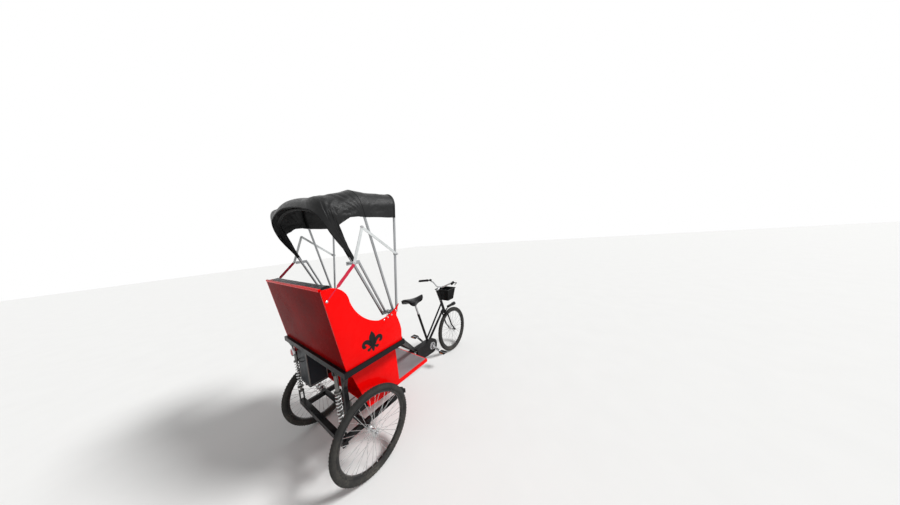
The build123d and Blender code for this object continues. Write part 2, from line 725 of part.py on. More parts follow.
crank = across(0, bracket_ahead, bracket_z, spindle_radius, 2 * crank_plane + 16)
ends = {-1: crank_end(-1), 1: crank_end(1)}
for sign, end in ends.items():
    root = bracket_point + Vector(sign * crank_plane, 0, 0)
    tip = root + end
    crank += bar(root, tip, crank_thickness - 1, crank_width)
    crank += Pos(root) * Rot(0, 90, 0) * Cylinder(17, crank_thickness)
    crank += Pos(tip) * Rot(0, 90, 0) * Cylinder(13, crank_thickness)
crank += across(chain_x, bracket_ahead, bracket_z, ring_radius - 4, 4)
save("crank_set", crank)

pedal_gap = 8.0
pedal_length = 94.0
pedal_width = 66.0
pedal_height = 22.0
for sign, name in ((-1, "right"), (1, "left")):
    outwards = crank_plane + crank_thickness / 2 + pedal_gap + pedal_length / 2
    centre = bracket_point + ends[sign] + Vector(sign * outwards, 0, 0)
    pedal = Pos(centre) * Box(pedal_length, pedal_width, pedal_height)
    pedal = fillet(pedal.edges().filter_by(Axis.X), 8)
    boss_end = centre - Vector(sign * (pedal_length / 2 + pedal_gap - seat_gap), 0, 0)
    pedal += rod(boss_end, centre, 6)
    save(f"{name}_pedal", pedal)

# Chain: one closed loop round the chain wheel and the sprocket
chain_plane = Plane(origin=(chain_x, rear_axle_y, 0), x_dir=(0, 1, 0), z_dir=(1, 0, 0))


def belt(front_radius, rear_radius):
    """Outline of a loop round both wheels, as a face in the chain's plane."""
    hull = make_hull([Pos(-bracket_ahead, bracket_z) * Circle(front_radius).edge(),
                      Pos(0, wheel_radius) * Circle(rear_radius).edge()])
    return make_face(hull) if not isinstance(hull, Face) else hull


chain_face = belt(ring_radius + 5, sprocket_radius + 5) - belt(ring_radius - 3.5, sprocket_radius - 3.5)
save("chain", extrude(chain_plane * chain_face, amount=4, both=True))

# Chain case: round cheek at the crank, narrowing to an open rear end
def case_face(grow):
    round_part = Pos(-bracket_ahead, bracket_z) * Circle(case_radius + grow)
    half_front, half_rear = case_radius + grow, case_end_height / 2 + grow
    tail = Polyline((-bracket_ahead, bracket_z - half_front), (-case_end_ahead, bracket_z - half_rear),
                    (-case_end_ahead, bracket_z + half_rear), (-bracket_ahead, bracket_z + half_front), close=True)
    return round_part + make_face(tail)


case = extrude(chain_plane * case_face(0), amount=case_width / 2, both=True)
hollow = extrude(chain_plane * case_face(-case_wall), amount=case_width / 2 - case_wall, both=True)
hollow += block(chain_x, case_end_ahead, bracket_z, case_width - 2 * case_wall, 20, case_end_height - 2 * case_wall)
case -= hollow
case -= across(chain_x - 20, bracket_ahead, bracket_z, case_hole_radius, 30)
case -= across(chain_x + 20, bracket_ahead, bracket_z, bracket_radius + 4, 30)
case -= bike
case -= spine
case -= [arm for arm in arms]
save("chain_case", max(case.solids(), key=lambda piece: piece.volume))

# Hood bows: hoops that lean from one pivot line on the arm rests
# Columns: name, half width, lean back in degrees, top height, crown rise, corner radius, foot behind the pivot
bow_table = [
    ("rear", rear_leg_x, 23.5, rear_top_z, rear_crown, rear_corner, rear_foot_behind),
    ("middle", middle_leg_x, 11.8, middle_top_z, middle_crown, middle_corner, -middle_foot_ahead),
    ("front", front_leg_x, -5.7, front_top_z, front_crown, front_corner, -front_foot_ahead),
]


def bow_plane(lean_back, shift):
    """Plane of a bow: x across, y up along the lean, from its foot."""
    up_dir = Vector(0, sin(radians(lean_back)), cos(radians(lean_back)))
    normal = Vector(1, 0, 0).cross(up_dir)
    return Plane(origin=at(0, pivot_ahead - shift, pivot_z), x_dir=(1, 0, 0), z_dir=normal)


def bow_line(half, top_z, crown, corner, lean_back, low=0.0, offset=0.0):
    """Centre line of a bow in its plane, grown outwards by an offset."""
    peak = (top_z - pivot_z) / cos(radians(lean_back)) + offset
    w = half + offset
    return FilletPolyline((-w, low), (-w, peak - crown), (0, peak), (w, peak - crown), (w, low),
                          radius=[corner + offset, crown_radius, corner + offset])


# Flat lug at each foot, through which the pivot pin passes
lug_end, lug_thickness, lug_height = 14.0, 8.0, 30.0
bows = {}
for name, half, lean_back, top_z, crown, corner, shift in bow_table:
    plane = bow_plane(lean_back, shift)
    path = plane * bow_line(half, top_z, crown, corner, lean_back)
    bow = sweep(Plane(origin=path @ 0, z_dir=path % 0) * Circle(bow_radius), path=path)
    past_pin = lug_end if shift > 0 else -lug_end
    for sign in (-1, 1):
        bow += bar(at(sign * half, pivot_ahead - shift - past_pin / 2, pivot_z + 4),
                   at(sign * half, pivot_ahead + past_pin, pivot_z), lug_thickness, lug_height)
    bows[name] = bow

hinge_ahead = -40.0
hinge_z = 1654.0
pivot_pin_radius = 6.0
rear_bow, middle_bow, front_bow = bows["rear"], bows["middle"], bows["front"]
pin_hole = across(0, pivot_ahead, pivot_z, pivot_pin_radius + running_gap, 2 * tub_half_width)

# Folding brace of two flat links each side, from the rear bow to the front bow
brace_x = tub_half_width - 5
link_thickness = 4.0
link_width = 20.0
knee_ahead, knee_z = 52.0, 1905.0
brace_front_ahead, brace_front_z = 337.0, 1676.0
hinge_point = (hinge_ahead, hinge_z)


def link(p, q, x, eyes):
    """Flat link between two (ahead, z) points, with an eye of the given radius at each end."""
    solid = bar(at(x, *p), at(x, *q), link_thickness, link_width)
    for ahead, z in (p, q):
        solid += across(x, ahead, z, link_width / 2, link_thickness)
    for (ahead, z), hole in zip((p, q), eyes):
        solid -= across(x, ahead, z, hole, link_thickness + 2)
    return solid


stud_radius = 4.0
stud_hole = stud_radius + running_gap
eyes = (stud_hole, stud_radius + 2)
knee_point = (knee_ahead, knee_z)
front_stud = (brace_front_ahead, brace_front_z)
stay_radius = 9.0
stay_foot_behind = 18.0
stay_top_ahead = hinge_ahead + 80
upper_links, lower_links = [], []
for sign in (-1, 1):
    rear_x, front_x = sign * rear_leg_x, sign * front_leg_x
    upper_links.append(link(hinge_point, knee_point, sign * (brace_x + 3), eyes))
    lower_links.append(link(front_stud, knee_point, sign * (brace_x - 3), eyes))
    # Stay tube beside the rear bow's leg, and the studs that carry the links
    rear_bow += rod(at(rear_x, pivot_ahead - stay_foot_behind, pivot_z + 6), at(rear_x, stay_top_ahead, hinge_z),
                    stay_radius)
    rear_bow += rod(at(rear_x, *hinge_point), at(sign * (brace_x + 7), *hinge_point), stud_radius)
    rear_bow += bar(at(rear_x, hinge_ahead - 12, hinge_z), at(rear_x, stay_top_ahead + 4, hinge_z), 14, 26)
    front_bow += rod(at(front_x, *front_stud), at(sign * (brace_x + 1), *front_stud), stud_radius)
    front_bow += bar(at(front_x, brace_front_ahead - 14, brace_front_z),
                     at(front_x, brace_front_ahead + 14, brace_front_z), 10, 20)
save("rear_bow", rear_bow - pin_hole)
save("middle_bow", middle_bow - pin_hole)
save("front_bow", front_bow - pin_hole)
save("upper_links", upper_links)
save("lower_links", lower_links)

# Pivot pins through the bow feet, from a plate inside each arm rest
pivots = []
for sign in (-1, 1):
    pin = rod(at(sign * inner_face, pivot_ahead, pivot_z), at(sign * (rear_leg_x - 12), pivot_ahead, pivot_z),
              pivot_pin_radius)
    plate_profile = block(sign * (inner_face - 2.5), pivot_ahead - 10, pivot_z - 30, 4.4, 90, 70)
    head_disc = across(sign * (rear_leg_x - 10), pivot_ahead, pivot_z, 11, 5)
    pivots.append(pin + plate_profile + head_disc)
save("hood_pivots", pivots)

# Canopy: one sheet over the three bows, in a front and a rear section
hem_z = 1972.0
rear_hem_z = 1905.0
rear_overhang = 38.0
gusset_foot_z = 1668.0
gusset_width = 60.0
gusset_foot_width = 25.0
hem_bulge = 22.0
clear_of_cloth = 80.0


def canopy_section(row, hem, behind=0.0):
    """Section of the sheet over one bow, as low as the hem, moved back by a distance."""
    name, half, lean_back, top_z, crown, corner, shift = row
    low = (hem - pivot_z) / cos(radians(lean_back))
    inner = bow_line(half, top_z, crown, corner, lean_back, low, bow_radius + fabric_gap)
    outer = bow_line(half, top_z, crown, corner, lean_back, low, bow_radius + fabric_gap + fabric)
    edges = inner.edges() + outer.edges() + [Line(inner @ 0, outer @ 0), Line(inner @ 1, outer @ 1)]
    return Pos(0, behind, 0) * bow_plane(lean_back, shift) * make_face(edges)


def leg_behind(row, z):
    """How far behind the rear axle a bow's straight leg is at a height."""
    name, half, lean_back, top_z, crown, corner, shift = row
    return shift - pivot_ahead + tan(radians(lean_back)) * (z - pivot_z)


rear_row, middle_row, front_row = bow_table
canopy_front = loft([canopy_section(middle_row, hem_z), canopy_section(front_row, hem_z)], ruled=True)
rear_section = canopy_section(rear_row, gusset_foot_z, rear_overhang)
canopy_rear = loft([rear_section, canopy_section(middle_row, gusset_foot_z)], ruled=True)
canopy_rear -= canopy_front

# Side hem of the rear section: up from the gusset at the rear bow's hinge to the middle bow
middle_hem = (leg_behind(middle_row, hem_z), hem_z)
gusset_top = (leg_behind(rear_row, rear_hem_z) - gusset_width, rear_hem_z)
gusset_foot = (leg_behind(rear_row, gusset_foot_z) - gusset_foot_width, gusset_foot_z)
below = gusset_foot_z - clear_of_cloth
ahead_of_hem = middle_hem[0] - clear_of_cloth
hem_middle = ((middle_hem[0] + gusset_top[0]) / 2, (hem_z + rear_hem_z) / 2 + hem_bulge)
in_front = [Line((ahead_of_hem, below), (ahead_of_hem, hem_z)), Line((ahead_of_hem, hem_z), middle_hem),
            ThreePointArc(middle_hem, hem_middle, gusset_top), Line(gusset_top, gusset_foot),
            Line(gusset_foot, (gusset_foot[0], below)), Line((gusset_foot[0], below), (ahead_of_hem, below))]
leg_foot = leg_behind(rear_row, gusset_foot_z) + bow_radius
leg_top = leg_behind(rear_row, rear_hem_z) + rear_overhang
behind_cloth = leg_top + clear_of_cloth
at_rear = Polyline((leg_foot, below), (leg_foot, gusset_foot_z), (leg_top, rear_hem_z), (behind_cloth, rear_hem_z),
                   (behind_cloth, below), close=True)
canopy_rear -= side_profile(in_front, -tub_half_width, tub_half_width)
canopy_rear -= side_profile([at_rear], -tub_half_width, tub_half_width)
save("canopy_front", canopy_front)
save("canopy_rear", max(canopy_rear.solids(), key=lambda piece: piece.volume))

# Red straps from the rear bow's hinge down to the outside of the tub
strap_thickness = 2.4
strap_width = 22.0
strap_foot = (-245.0, 1450.0)
straps = []
for sign in (-1, 1):
    strap_x = sign * (tub_half_width + seat_gap + strap_thickness / 2)
    top, foot = at(strap_x, *hinge_point), at(strap_x, *strap_foot)
    top += (foot - top).normalized() * (stud_radius + seat_gap)
    straps.append(bar(top, foot, strap_thickness, strap_width))
save("hood_straps", straps)
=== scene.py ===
import bpy
import json
from math import atan2, cos, exp, pi, radians, sin, sqrt, tan
from mathutils import Matrix, Vector, noise


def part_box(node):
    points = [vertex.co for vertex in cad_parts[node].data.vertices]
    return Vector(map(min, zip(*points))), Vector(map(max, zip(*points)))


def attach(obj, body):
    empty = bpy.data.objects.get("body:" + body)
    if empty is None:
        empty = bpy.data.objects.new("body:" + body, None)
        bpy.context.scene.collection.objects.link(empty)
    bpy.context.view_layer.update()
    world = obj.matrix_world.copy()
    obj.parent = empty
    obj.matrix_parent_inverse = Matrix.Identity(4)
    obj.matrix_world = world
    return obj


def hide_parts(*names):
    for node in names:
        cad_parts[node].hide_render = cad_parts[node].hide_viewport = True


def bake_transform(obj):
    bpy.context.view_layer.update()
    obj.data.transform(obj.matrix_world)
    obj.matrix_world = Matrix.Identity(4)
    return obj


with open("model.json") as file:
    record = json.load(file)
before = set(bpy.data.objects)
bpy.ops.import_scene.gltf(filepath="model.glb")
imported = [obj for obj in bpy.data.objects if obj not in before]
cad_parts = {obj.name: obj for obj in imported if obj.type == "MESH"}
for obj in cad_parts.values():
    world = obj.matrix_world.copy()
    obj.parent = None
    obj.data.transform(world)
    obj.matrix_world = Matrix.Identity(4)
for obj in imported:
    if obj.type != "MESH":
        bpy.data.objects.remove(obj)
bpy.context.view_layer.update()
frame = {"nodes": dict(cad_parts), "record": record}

# A cycle rickshaw. Metres, +Z up, front wheel towards -Y, the rider's left towards +X.
# "ahead" is always a distance in front of the rear axle.


def box(node):
    """Lowest and highest corner of a node."""
    low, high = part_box(node)
    return Vector(low), Vector(high)


def middle(node):
    low, high = box(node)
    return (low + high) / 2


REAR_AXLE_Y = middle("rear_axle").y
WHEEL_CENTRES = {side: middle(f"{side}_tyre") for side in ("left", "right", "front")}
WHEEL_RADIUS = WHEEL_CENTRES["left"].z
TUB_HALF_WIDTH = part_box("left_side_panel")[1][0]
MAT_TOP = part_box("foot_mat")[1][2]
SIDES = {"right": -1, "left": 1}


def at(x, ahead, z):
    """A place, from its distance in front of the rear axle."""
    return Vector((x, REAR_AXLE_Y - ahead, z))


# Camera, light and floor
PHOTO_WIDTH_PX = 900
FOCAL_PX = 207.97
CAMERA_PLACE = (-1.932, 1.663, 1.792)
YAW, PITCH, ROLL = radians(36.14), radians(4.73), radians(4.9)
SENSOR_WIDTH = 36.0
WHITE = (1, 1, 1, 1)
SOFT_LIGHT, SEEN_LIGHT, SUN_LIGHT = 0.42, 1.0, 3.0
SUN_SPREAD = radians(14)
SUN_FROM = Vector((-0.78, -0.42, 0.85))
FLOOR_SIZE = 60


def set_camera():
    data = bpy.data.cameras.new("camera")
    data.sensor_width = SENSOR_WIDTH
    data.lens = FOCAL_PX / PHOTO_WIDTH_PX * SENSOR_WIDTH
    camera = bpy.data.objects.new("camera", data)
    bpy.context.scene.collection.objects.link(camera)
    forward = Vector((sin(YAW) * cos(PITCH), -cos(YAW) * cos(PITCH), -sin(PITCH)))
    right = forward.cross(Vector((0, 0, 1))).normalized()
    down = forward.cross(right)
    rolled_right = cos(ROLL) * right + sin(ROLL) * down
    rolled_down = -sin(ROLL) * right + cos(ROLL) * down
    pose = Matrix((rolled_right, -rolled_down, -forward)).transposed().to_4x4()
    pose.translation = CAMERA_PLACE
    camera.matrix_world = pose
    bpy.context.scene.camera = camera


def set_light():
    """A sun and a soft white studio, brighter where it is seen, also mirrored or through a lens."""
    world = bpy.data.worlds.new("studio")
    bpy.context.scene.world = world
    world.use_nodes = True
    tree = world.node_tree
    soft, seen = tree.nodes["Background"], tree.nodes.new("ShaderNodeBackground")
    for background, strength in ((soft, SOFT_LIGHT), (seen, SEEN_LIGHT)):
        feed(tree, background.inputs["Color"], WHITE)
        feed(tree, background.inputs["Strength"], strength)
    ray = tree.nodes.new("ShaderNodeLightPath").outputs
    direct = math_node(tree, "MAXIMUM", ray["Is Camera Ray"], ray["Is Glossy Ray"])
    direct = math_node(tree, "MAXIMUM", direct, ray["Is Transmission Ray"])
    mix = tree.nodes.new("ShaderNodeMixShader")
    for socket, value in zip(mix.inputs, (direct, soft.outputs[0], seen.outputs[0])):
        feed(tree, socket, value)
    feed(tree, tree.nodes["World Output"].inputs[0], mix.outputs[0])

    sun_data = bpy.data.lights.new("sun", "SUN")
    sun_data.energy = SUN_LIGHT
    sun_data.angle = SUN_SPREAD
    sun = bpy.data.objects.new("sun", sun_data)
    sun.rotation_euler = SUN_FROM.to_track_quat("Z", "Y").to_euler()
    bpy.context.scene.collection.objects.link(sun)
    bpy.context.scene.view_settings.view_transform = "Standard"


def make_floor():
    deselect()
    bpy.ops.mesh.primitive_plane_add(size=FLOOR_SIZE)
    floor = bpy.context.object
    floor.name = "floor"
    material = bpy.data.materials.new("pale floor")
    material.use_nodes = True
    tree = material.node_tree
    shade = mix_colours(tree, noise_node(tree, 3.0), (0.80, 0.80, 0.79), (0.84, 0.84, 0.83))
    for label, value in (("Roughness", 0.9), ("Base Color", shade)):
        feed(tree, tree.nodes["Principled BSDF"].inputs[label], value)
    floor.data.materials.append(material)


# Making meshes
X_AXIS = (1.0, 0.0, 0.0)
CURVE_ORDER, CURVE_STEPS = 3, 6


def deselect():
    bpy.ops.object.select_all(action="DESELECT")


def only(piece):
    deselect()
    piece.select_set(True)
    bpy.context.view_layer.objects.active = piece


def start_edit(piece):
    only(piece)
    bpy.ops.object.mode_set(mode="EDIT")
    bpy.ops.mesh.select_all(action="SELECT")


def end_edit():
    bpy.ops.object.mode_set(mode="OBJECT")


def shifted(piece, move):
    """Moves the mesh within its object."""
    start_edit(piece)
    bpy.ops.transform.translate(value=move)
    end_edit()
    return piece


def settle(piece):
    """The piece's place goes into its mesh, and its object back to the origin."""
    only(piece)
    bpy.ops.object.transform_apply(location=True, rotation=True, scale=True)


def smooth(piece, degrees=35):
    only(piece)
    bpy.ops.object.shade_smooth_by_angle(angle=radians(degrees))


def modify(piece, kind, **settings):
    """One modifier, set and applied."""
    only(piece)
    modifier = piece.modifiers.new(kind.lower(), kind)
    for key, value in settings.items():
        setattr(modifier, key, value)
    bpy.ops.object.modifier_apply(modifier=modifier.name)


def joined(name, pieces):
    deselect()
    for piece in pieces:
        piece.select_set(True)
    bpy.context.view_layer.objects.active = pieces[0]
    bpy.ops.object.join()
    pieces[0].name = name
    return pieces[0]


def copied(piece, name, move=(0, 0, 0)):
    """A copy with its own mesh, moved within that mesh."""
    only(piece)
    bpy.ops.object.duplicate(linked=False)
    twin = bpy.context.object
    twin.name = name
    twin.location = move
    settle(twin)
    return twin


def mirrored(piece, name):
    """A copy on the other side of the vehicle."""
    twin = copied(piece, name)
    start_edit(twin)
    bpy.ops.transform.resize(value=(-1, 1, 1), center_override=(0, 0, 0))
    bpy.ops.mesh.normals_make_consistent(inside=False)
    end_edit()
    return twin


def wire(name, points):
    """A closed wire through points, from a circle whose vertices are put in place."""
    deselect()
    bpy.ops.mesh.primitive_circle_add(vertices=len(points))
    piece = bpy.context.object
    piece.name = name
    for vertex, point in zip(piece.data.vertices, points):
        vertex.co = point
    return piece


def turned(name, profile, steps, centre=(0, 0, 0), axis=X_AXIS):
    """A closed (along, radius) profile spun once round an axis through centre."""
    along = Vector(axis).normalized()
    out = along.orthogonal().normalized()
    piece = wire(name, [along * a + out * r for a, r in profile])
    start_edit(piece)
    bpy.ops.mesh.spin(steps=steps, angle=2 * pi, center=(0, 0, 0), axis=along)
    bpy.ops.mesh.select_all(action="SELECT")
    bpy.ops.mesh.remove_doubles(threshold=1e-5)
    bpy.ops.mesh.normals_make_consistent(inside=False)
    bpy.ops.transform.translate(value=centre)
    end_edit()
    smooth(piece)
    return piece


def rod(name, p, q, radius, end_radius=None, *, sides):
    """A round rod from p to q, tapered where it has an end radius."""
    p, q = Vector(p), Vector(q)
    deselect()
    bpy.ops.mesh.primitive_cone_add(
        vertices=sides, radius1=radius, radius2=end_radius or radius, depth=(q - p).length,
        location=(p + q) / 2, rotation=(q - p).to_track_quat("Z", "Y").to_euler())
    piece = bpy.context.object
    piece.name = name
    settle(piece)
    smooth(piece)
    return piece


def block(name, centre, size, bevel, segments=2):
    """A box with rounded edges."""
    deselect()
    bpy.ops.mesh.primitive_cube_add(size=1, location=centre, scale=size)
    piece = bpy.context.object
    piece.name = name
    settle(piece)
    start_edit(piece)
    bpy.ops.mesh.bevel(offset=bevel, segments=segments, affect="EDGES")
    end_edit()
    smooth(piece, 30)
    return piece


def curve(name, points, closed, straight=False):
    """A path through points, as a curve object."""
    deselect()
    bpy.ops.curve.primitive_nurbs_path_add()
    piece = bpy.context.object
    piece.name = name
    piece.location = (0, 0, 0)
    splines = piece.data.splines
    splines.remove(splines[0])
    line = splines.new("POLY" if straight else "NURBS")
    line.points.add(len(points) - 1)
    for point, place in zip(line.points, points):
        point.co = (*place, 1)
    line.use_cyclic_u = closed
    if not straight:
        line.order_u = CURVE_ORDER
        line.use_endpoint_u = not closed
    piece.data.resolution_u = CURVE_STEPS
    return piece


def hose(name, points, radius, closed=False, straight=False, rings=2):
    """A round tube along a path."""
    piece = curve(name, points, closed, straight)
    piece.data.bevel_depth = radius
    piece.data.bevel_resolution = rings
    piece.data.use_fill_caps = True
    only(piece)
    bpy.ops.object.convert(target="MESH")
    piece = bpy.context.object
    smooth(piece, 50)
    return piece


def round_about(piece, copies):
    """The mesh repeated evenly round the X axis."""
    start_edit(piece)
    bpy.ops.mesh.spin(steps=copies - 1, dupli=True, angle=2 * pi * (copies - 1) / copies, center=(0, 0, 0),
                      axis=X_AXIS)
    end_edit()


# Shader node groups
GREY = (0.5, 0.5, 0.5, 1)
DUST_COLOUR = (0.30, 0.27, 0.22)


def feed(tree, socket, value):
    """A number or a colour is set on a socket, and another node's output is linked to it."""
    if isinstance(value, (int, float)):
        socket.default_value = value
    elif isinstance(value, tuple):
        socket.default_value = (*value[:3], 1)
    else:
        tree.links.new(value, socket)


def new_group(name, inputs, outputs):
    """A new node group. Its inputs are colours or numbers, as their first values are."""
    tree = bpy.data.node_groups.new(name, "ShaderNodeTree")
    for label, value in inputs.items():
        kind = "NodeSocketColor" if isinstance(value, tuple) else "NodeSocketFloat"
        feed(tree, tree.interface.new_socket(label, in_out="INPUT", socket_type=kind), value)
    for label in outputs:
        kind = "NodeSocketColor" if label == "Colour" else "NodeSocketFloat"
        tree.interface.new_socket(label, in_out="OUTPUT", socket_type=kind)
    return tree, tree.nodes.new("NodeGroupInput").outputs, tree.nodes.new("NodeGroupOutput").inputs


def math_node(tree, operation, *values, clamp=False):
    node = tree.nodes.new("ShaderNodeMath")
    node.operation = operation
    node.use_clamp = clamp
    for socket, value in zip(node.inputs, values):
        feed(tree, socket, value)
    return node.outputs[0]


def span(tree, value, low, high, to_low=0.0, to_high=1.0):
    """A value's range, stretched to another range."""
    node = tree.nodes.new("ShaderNodeMapRange")
    labels = ("Value", "From Min", "From Max", "To Min", "To Max")
    for label, number in zip(labels, (value, low, high, to_low, to_high)):
        feed(tree, node.inputs[label], number)
    return node.outputs["Result"]


def object_place(tree):
    return tree.nodes.new("ShaderNodeTexCoord").outputs["Object"]


def split_place(tree):
    """X, Y and Z of the place, as outputs."""
    split = tree.nodes.new("ShaderNodeSeparateXYZ")
    feed(tree, split.inputs[0], object_place(tree))
    return split.outputs


def noise_node(tree, scale, detail=4.0, roughness=0.55, stretch=None):
    place = object_place(tree)
    if stretch:
        mapping = tree.nodes.new("ShaderNodeMapping")
        mapping.inputs["Scale"].default_value = stretch
        feed(tree, mapping.inputs["Vector"], place)
        place = mapping.outputs[0]
    node = tree.nodes.new("ShaderNodeTexNoise")
    for label, value in (("Vector", place), ("Scale", scale), ("Detail", detail), ("Roughness", roughness)):
        feed(tree, node.inputs[label], value)
    return node.outputs["Fac"]


def mix_colours(tree, share, first, second):
    node = tree.nodes.new("ShaderNodeMix")
    node.data_type = "RGBA"
    for socket, value in ((0, share), (6, first), (7, second)):
        feed(tree, node.inputs[socket], value)
    return node.outputs[2]


def give_cover(tree, given, out, mask, cover):
    """A group's result: where the mask is 1, the cover takes the place of the colour."""
    feed(tree, out["Colour"], mix_colours(tree, mask, given["Colour"], cover))
    feed(tree, out["Mask"], mask)


def make_dust_group():
    """Road dust: more of it near the ground, in soft patches."""
    first_values = {"Colour": GREY, "Height": 0.8, "Amount": 0.3}
    tree, given, out = new_group("road dust", first_values, ("Colour", "Mask"))
    low = span(tree, split_place(tree)["Z"], 0.0, given["Height"], 1.0, 0.12)
    patches = span(tree, noise_node(tree, 9.0, 6.0), 0.38, 0.68)
    fine = span(tree, noise_node(tree, 90.0, 3.0), 0.30, 0.75)
    mask = math_node(tree, "MULTIPLY", math_node(tree, "MULTIPLY", patches, fine), low)
    mask = math_node(tree, "MULTIPLY", mask, given["Amount"], clamp=True)
    give_cover(tree, given, out, mask, DUST_COLOUR)
    return tree


def make_wear_group():
    """Small chips and rubbed spots through which the bare material shows."""
    first_values = {"Colour": GREY, "Bare": GREY, "Amount": 0.3, "Scale": 60.0}
    tree, given, out = new_group("worn spots", first_values, ("Colour", "Mask"))
    chips = noise_node(tree, given["Scale"], 8.0, 0.7)
    areas = span(tree, noise_node(tree, 4.0, 3.0), 0.48, 0.66)
    edge = math_node(tree, "MULTIPLY_ADD", given["Amount"], -0.18, 0.80)
    mask = math_node(tree, "MULTIPLY", span(tree, chips, edge, 0.84), areas, clamp=True)
    give_cover(tree, given, out, mask, given["Bare"])
    return tree


def make_grain_group():
    """Leather-like grain of soft plastic and vinyl."""
    tree, given, out = new_group("grain", {"Scale": 500.0}, ("Height",))
    cells = tree.nodes.new("ShaderNodeTexVoronoi")
    cells.feature = "DISTANCE_TO_EDGE"
    feed(tree, cells.inputs["Vector"], object_place(tree))
    feed(tree, cells.inputs["Scale"], given["Scale"])
    feed(tree, out["Height"], span(tree, cells.outputs["Distance"], 0.0, 0.18))
    return tree


def make_weave_group():
    """Plain weave: threads across and along, with slight unevenness."""
    tree, given, out = new_group("weave", {"Scale": 700.0}, ("Height",))
    place = split_place(tree)
    waves = []
    for direction, lean in (("Y", 0.35), ("X", 0.9)):
        leaning = math_node(tree, "ADD", place[direction], math_node(tree, "MULTIPLY", place["Z"], lean))
        waves.append(math_node(tree, "SINE", math_node(tree, "MULTIPLY", leaning, given["Scale"])))
    crossing = math_node(tree, "MULTIPLY", *waves)
    height = math_node(tree, "MULTIPLY_ADD", crossing, 0.5, 0.5)
    feed(tree, out["Height"], math_node(tree, "ADD", height, noise_node(tree, 60.0, 5.0)))
    return tree


DUST, WEAR = make_dust_group(), make_wear_group()
FINE_BUMPS = {"grain": make_grain_group(), "weave": make_weave_group()}
COAT_ROUGHNESS, SHEEN_ROUGHNESS, BUMP_STRENGTH = 0.06, 0.5, 0.7
WORN_ROUGHER, DUSTY_ROUGHER = 0.25, 0.45


def place_group(tree, group, **values):
    """A group's node, fed with values. Gives its outputs."""
    node = tree.nodes.new("ShaderNodeGroup")
    node.node_tree = group
    for label, value in values.items():
        feed(tree, node.inputs[label], value)
    return node.outputs


def finish(name, colour, roughness, metallic=0.0, coat=0.0, vary=0.10, vary_scale=5.0, dust=0.3,
           dust_height=0.9, wear=0.0, bare=(0.25, 0.24, 0.23), wear_scale=70.0, bump=None,
           bump_scale=500.0, bump_height=0.0006, rough_vary=0.08, sheen=0.0, ior=1.5, streak=None):
    """A finish: base colour with slow variation, worn spots and dust over it, and a fine bump."""
    material = bpy.data.materials.new(name)
    material.use_nodes = True
    tree = material.node_tree
    darker = tuple(channel * (1 - vary) for channel in colour)
    lighter = tuple(min(1.0, channel * (1 + vary)) for channel in colour)
    slow = noise_node(tree, vary_scale, 5.0, stretch=streak)
    shade = mix_colours(tree, span(tree, slow, 0.3, 0.7), darker, lighter)
    rough = span(tree, noise_node(tree, vary_scale * 4, 4.0, stretch=streak), 0.3, 0.7,
                 max(0.02, roughness - rough_vary), min(1.0, roughness + rough_vary))
    if wear:
        spots = place_group(tree, WEAR, Colour=shade, Bare=bare, Amount=wear, Scale=wear_scale)
        shade = spots["Colour"]
        rough = math_node(tree, "MULTIPLY_ADD", spots["Mask"], WORN_ROUGHER, rough, clamp=True)
    if dust:
        film = place_group(tree, DUST, Colour=shade, Height=dust_height, Amount=dust)
        shade = film["Colour"]
        rough = math_node(tree, "MULTIPLY_ADD", film["Mask"], DUSTY_ROUGHER, rough, clamp=True)
    settings = {"Base Color": shade, "Roughness": rough, "Metallic": metallic, "IOR": ior}
    if coat:
        settings |= {"Coat Weight": coat, "Coat Roughness": COAT_ROUGHNESS}
    if sheen:
        settings |= {"Sheen Weight": sheen, "Sheen Roughness": SHEEN_ROUGHNESS}
    if bump:
        raised = tree.nodes.new("ShaderNodeBump")
        if bump == "noise":
            source = noise_node(tree, bump_scale, 3.0)
        else:
            source = place_group(tree, FINE_BUMPS[bump], Scale=bump_scale)["Height"]
        for label, value in (("Distance", bump_height), ("Strength", BUMP_STRENGTH), ("Height", source)):
            feed(tree, raised.inputs[label], value)
        settings["Normal"] = raised.outputs[0]
    for label, value in settings.items():
        feed(tree, tree.nodes["Principled BSDF"].inputs[label], value)
    return material


# Finishes
RUST = (0.16, 0.07, 0.035)
red_enamel = finish("red enamel", (0.80, 0.0005, 0.0005), 0.28, coat=0.12, vary=0.04, dust=0.03,
                    dust_height=1.1, wear=0.05, bare=(0.30, 0.01, 0.01), wear_scale=110,
                    rough_vary=0.05, ior=1.10)
# The back panel: the same red enamel as the sides, with its base colour darkened as painted shade, since
# the back lies out of the sun
red_back_painted_shade = finish("red enamel of the back in painted shade", (0.17, 0.0006, 0.0010), 0.24, coat=0.03, vary=0.30,
                  vary_scale=3.0, dust=0.03, dust_height=1.3, rough_vary=0.06, ior=1.03)
frame_black = finish("black frame paint", (0.006, 0.006, 0.007), 0.34, coat=0.06, vary=0.15, dust=0.07,
                     wear=0.25, bare=(0.06, 0.05, 0.045), ior=1.22)
bicycle_black = finish("black bicycle enamel", (0.005, 0.005, 0.006), 0.22, coat=0.15, dust=0.05,
                       wear=0.15, bare=(0.08, 0.07, 0.065), ior=1.22)
bow_silver = finish("silver paint of the bows", (0.36, 0.37, 0.38), 0.30, metallic=0.75, dust=0.15,
                    dust_height=2.5, wear=0.25, bare=(0.16, 0.15, 0.14), streak=(1, 1, 0.25))
link_silver = finish("pale silver of the brace", (0.56, 0.58, 0.58), 0.40, metallic=0.45, vary=0.08,
                     dust=0.15, dust_height=2.5, wear=0.35, bare=(0.20, 0.19, 0.17))
bright_steel = finish("bright steel", (0.50, 0.50, 0.51), 0.24, metallic=1.0, dust=0.25, wear=0.2,
                      bare=RUST)
spoke_steel = finish("spoke steel", (0.58, 0.58, 0.58), 0.26, metallic=1.0, dust=0.12, wear=0.1,
                     bare=RUST)
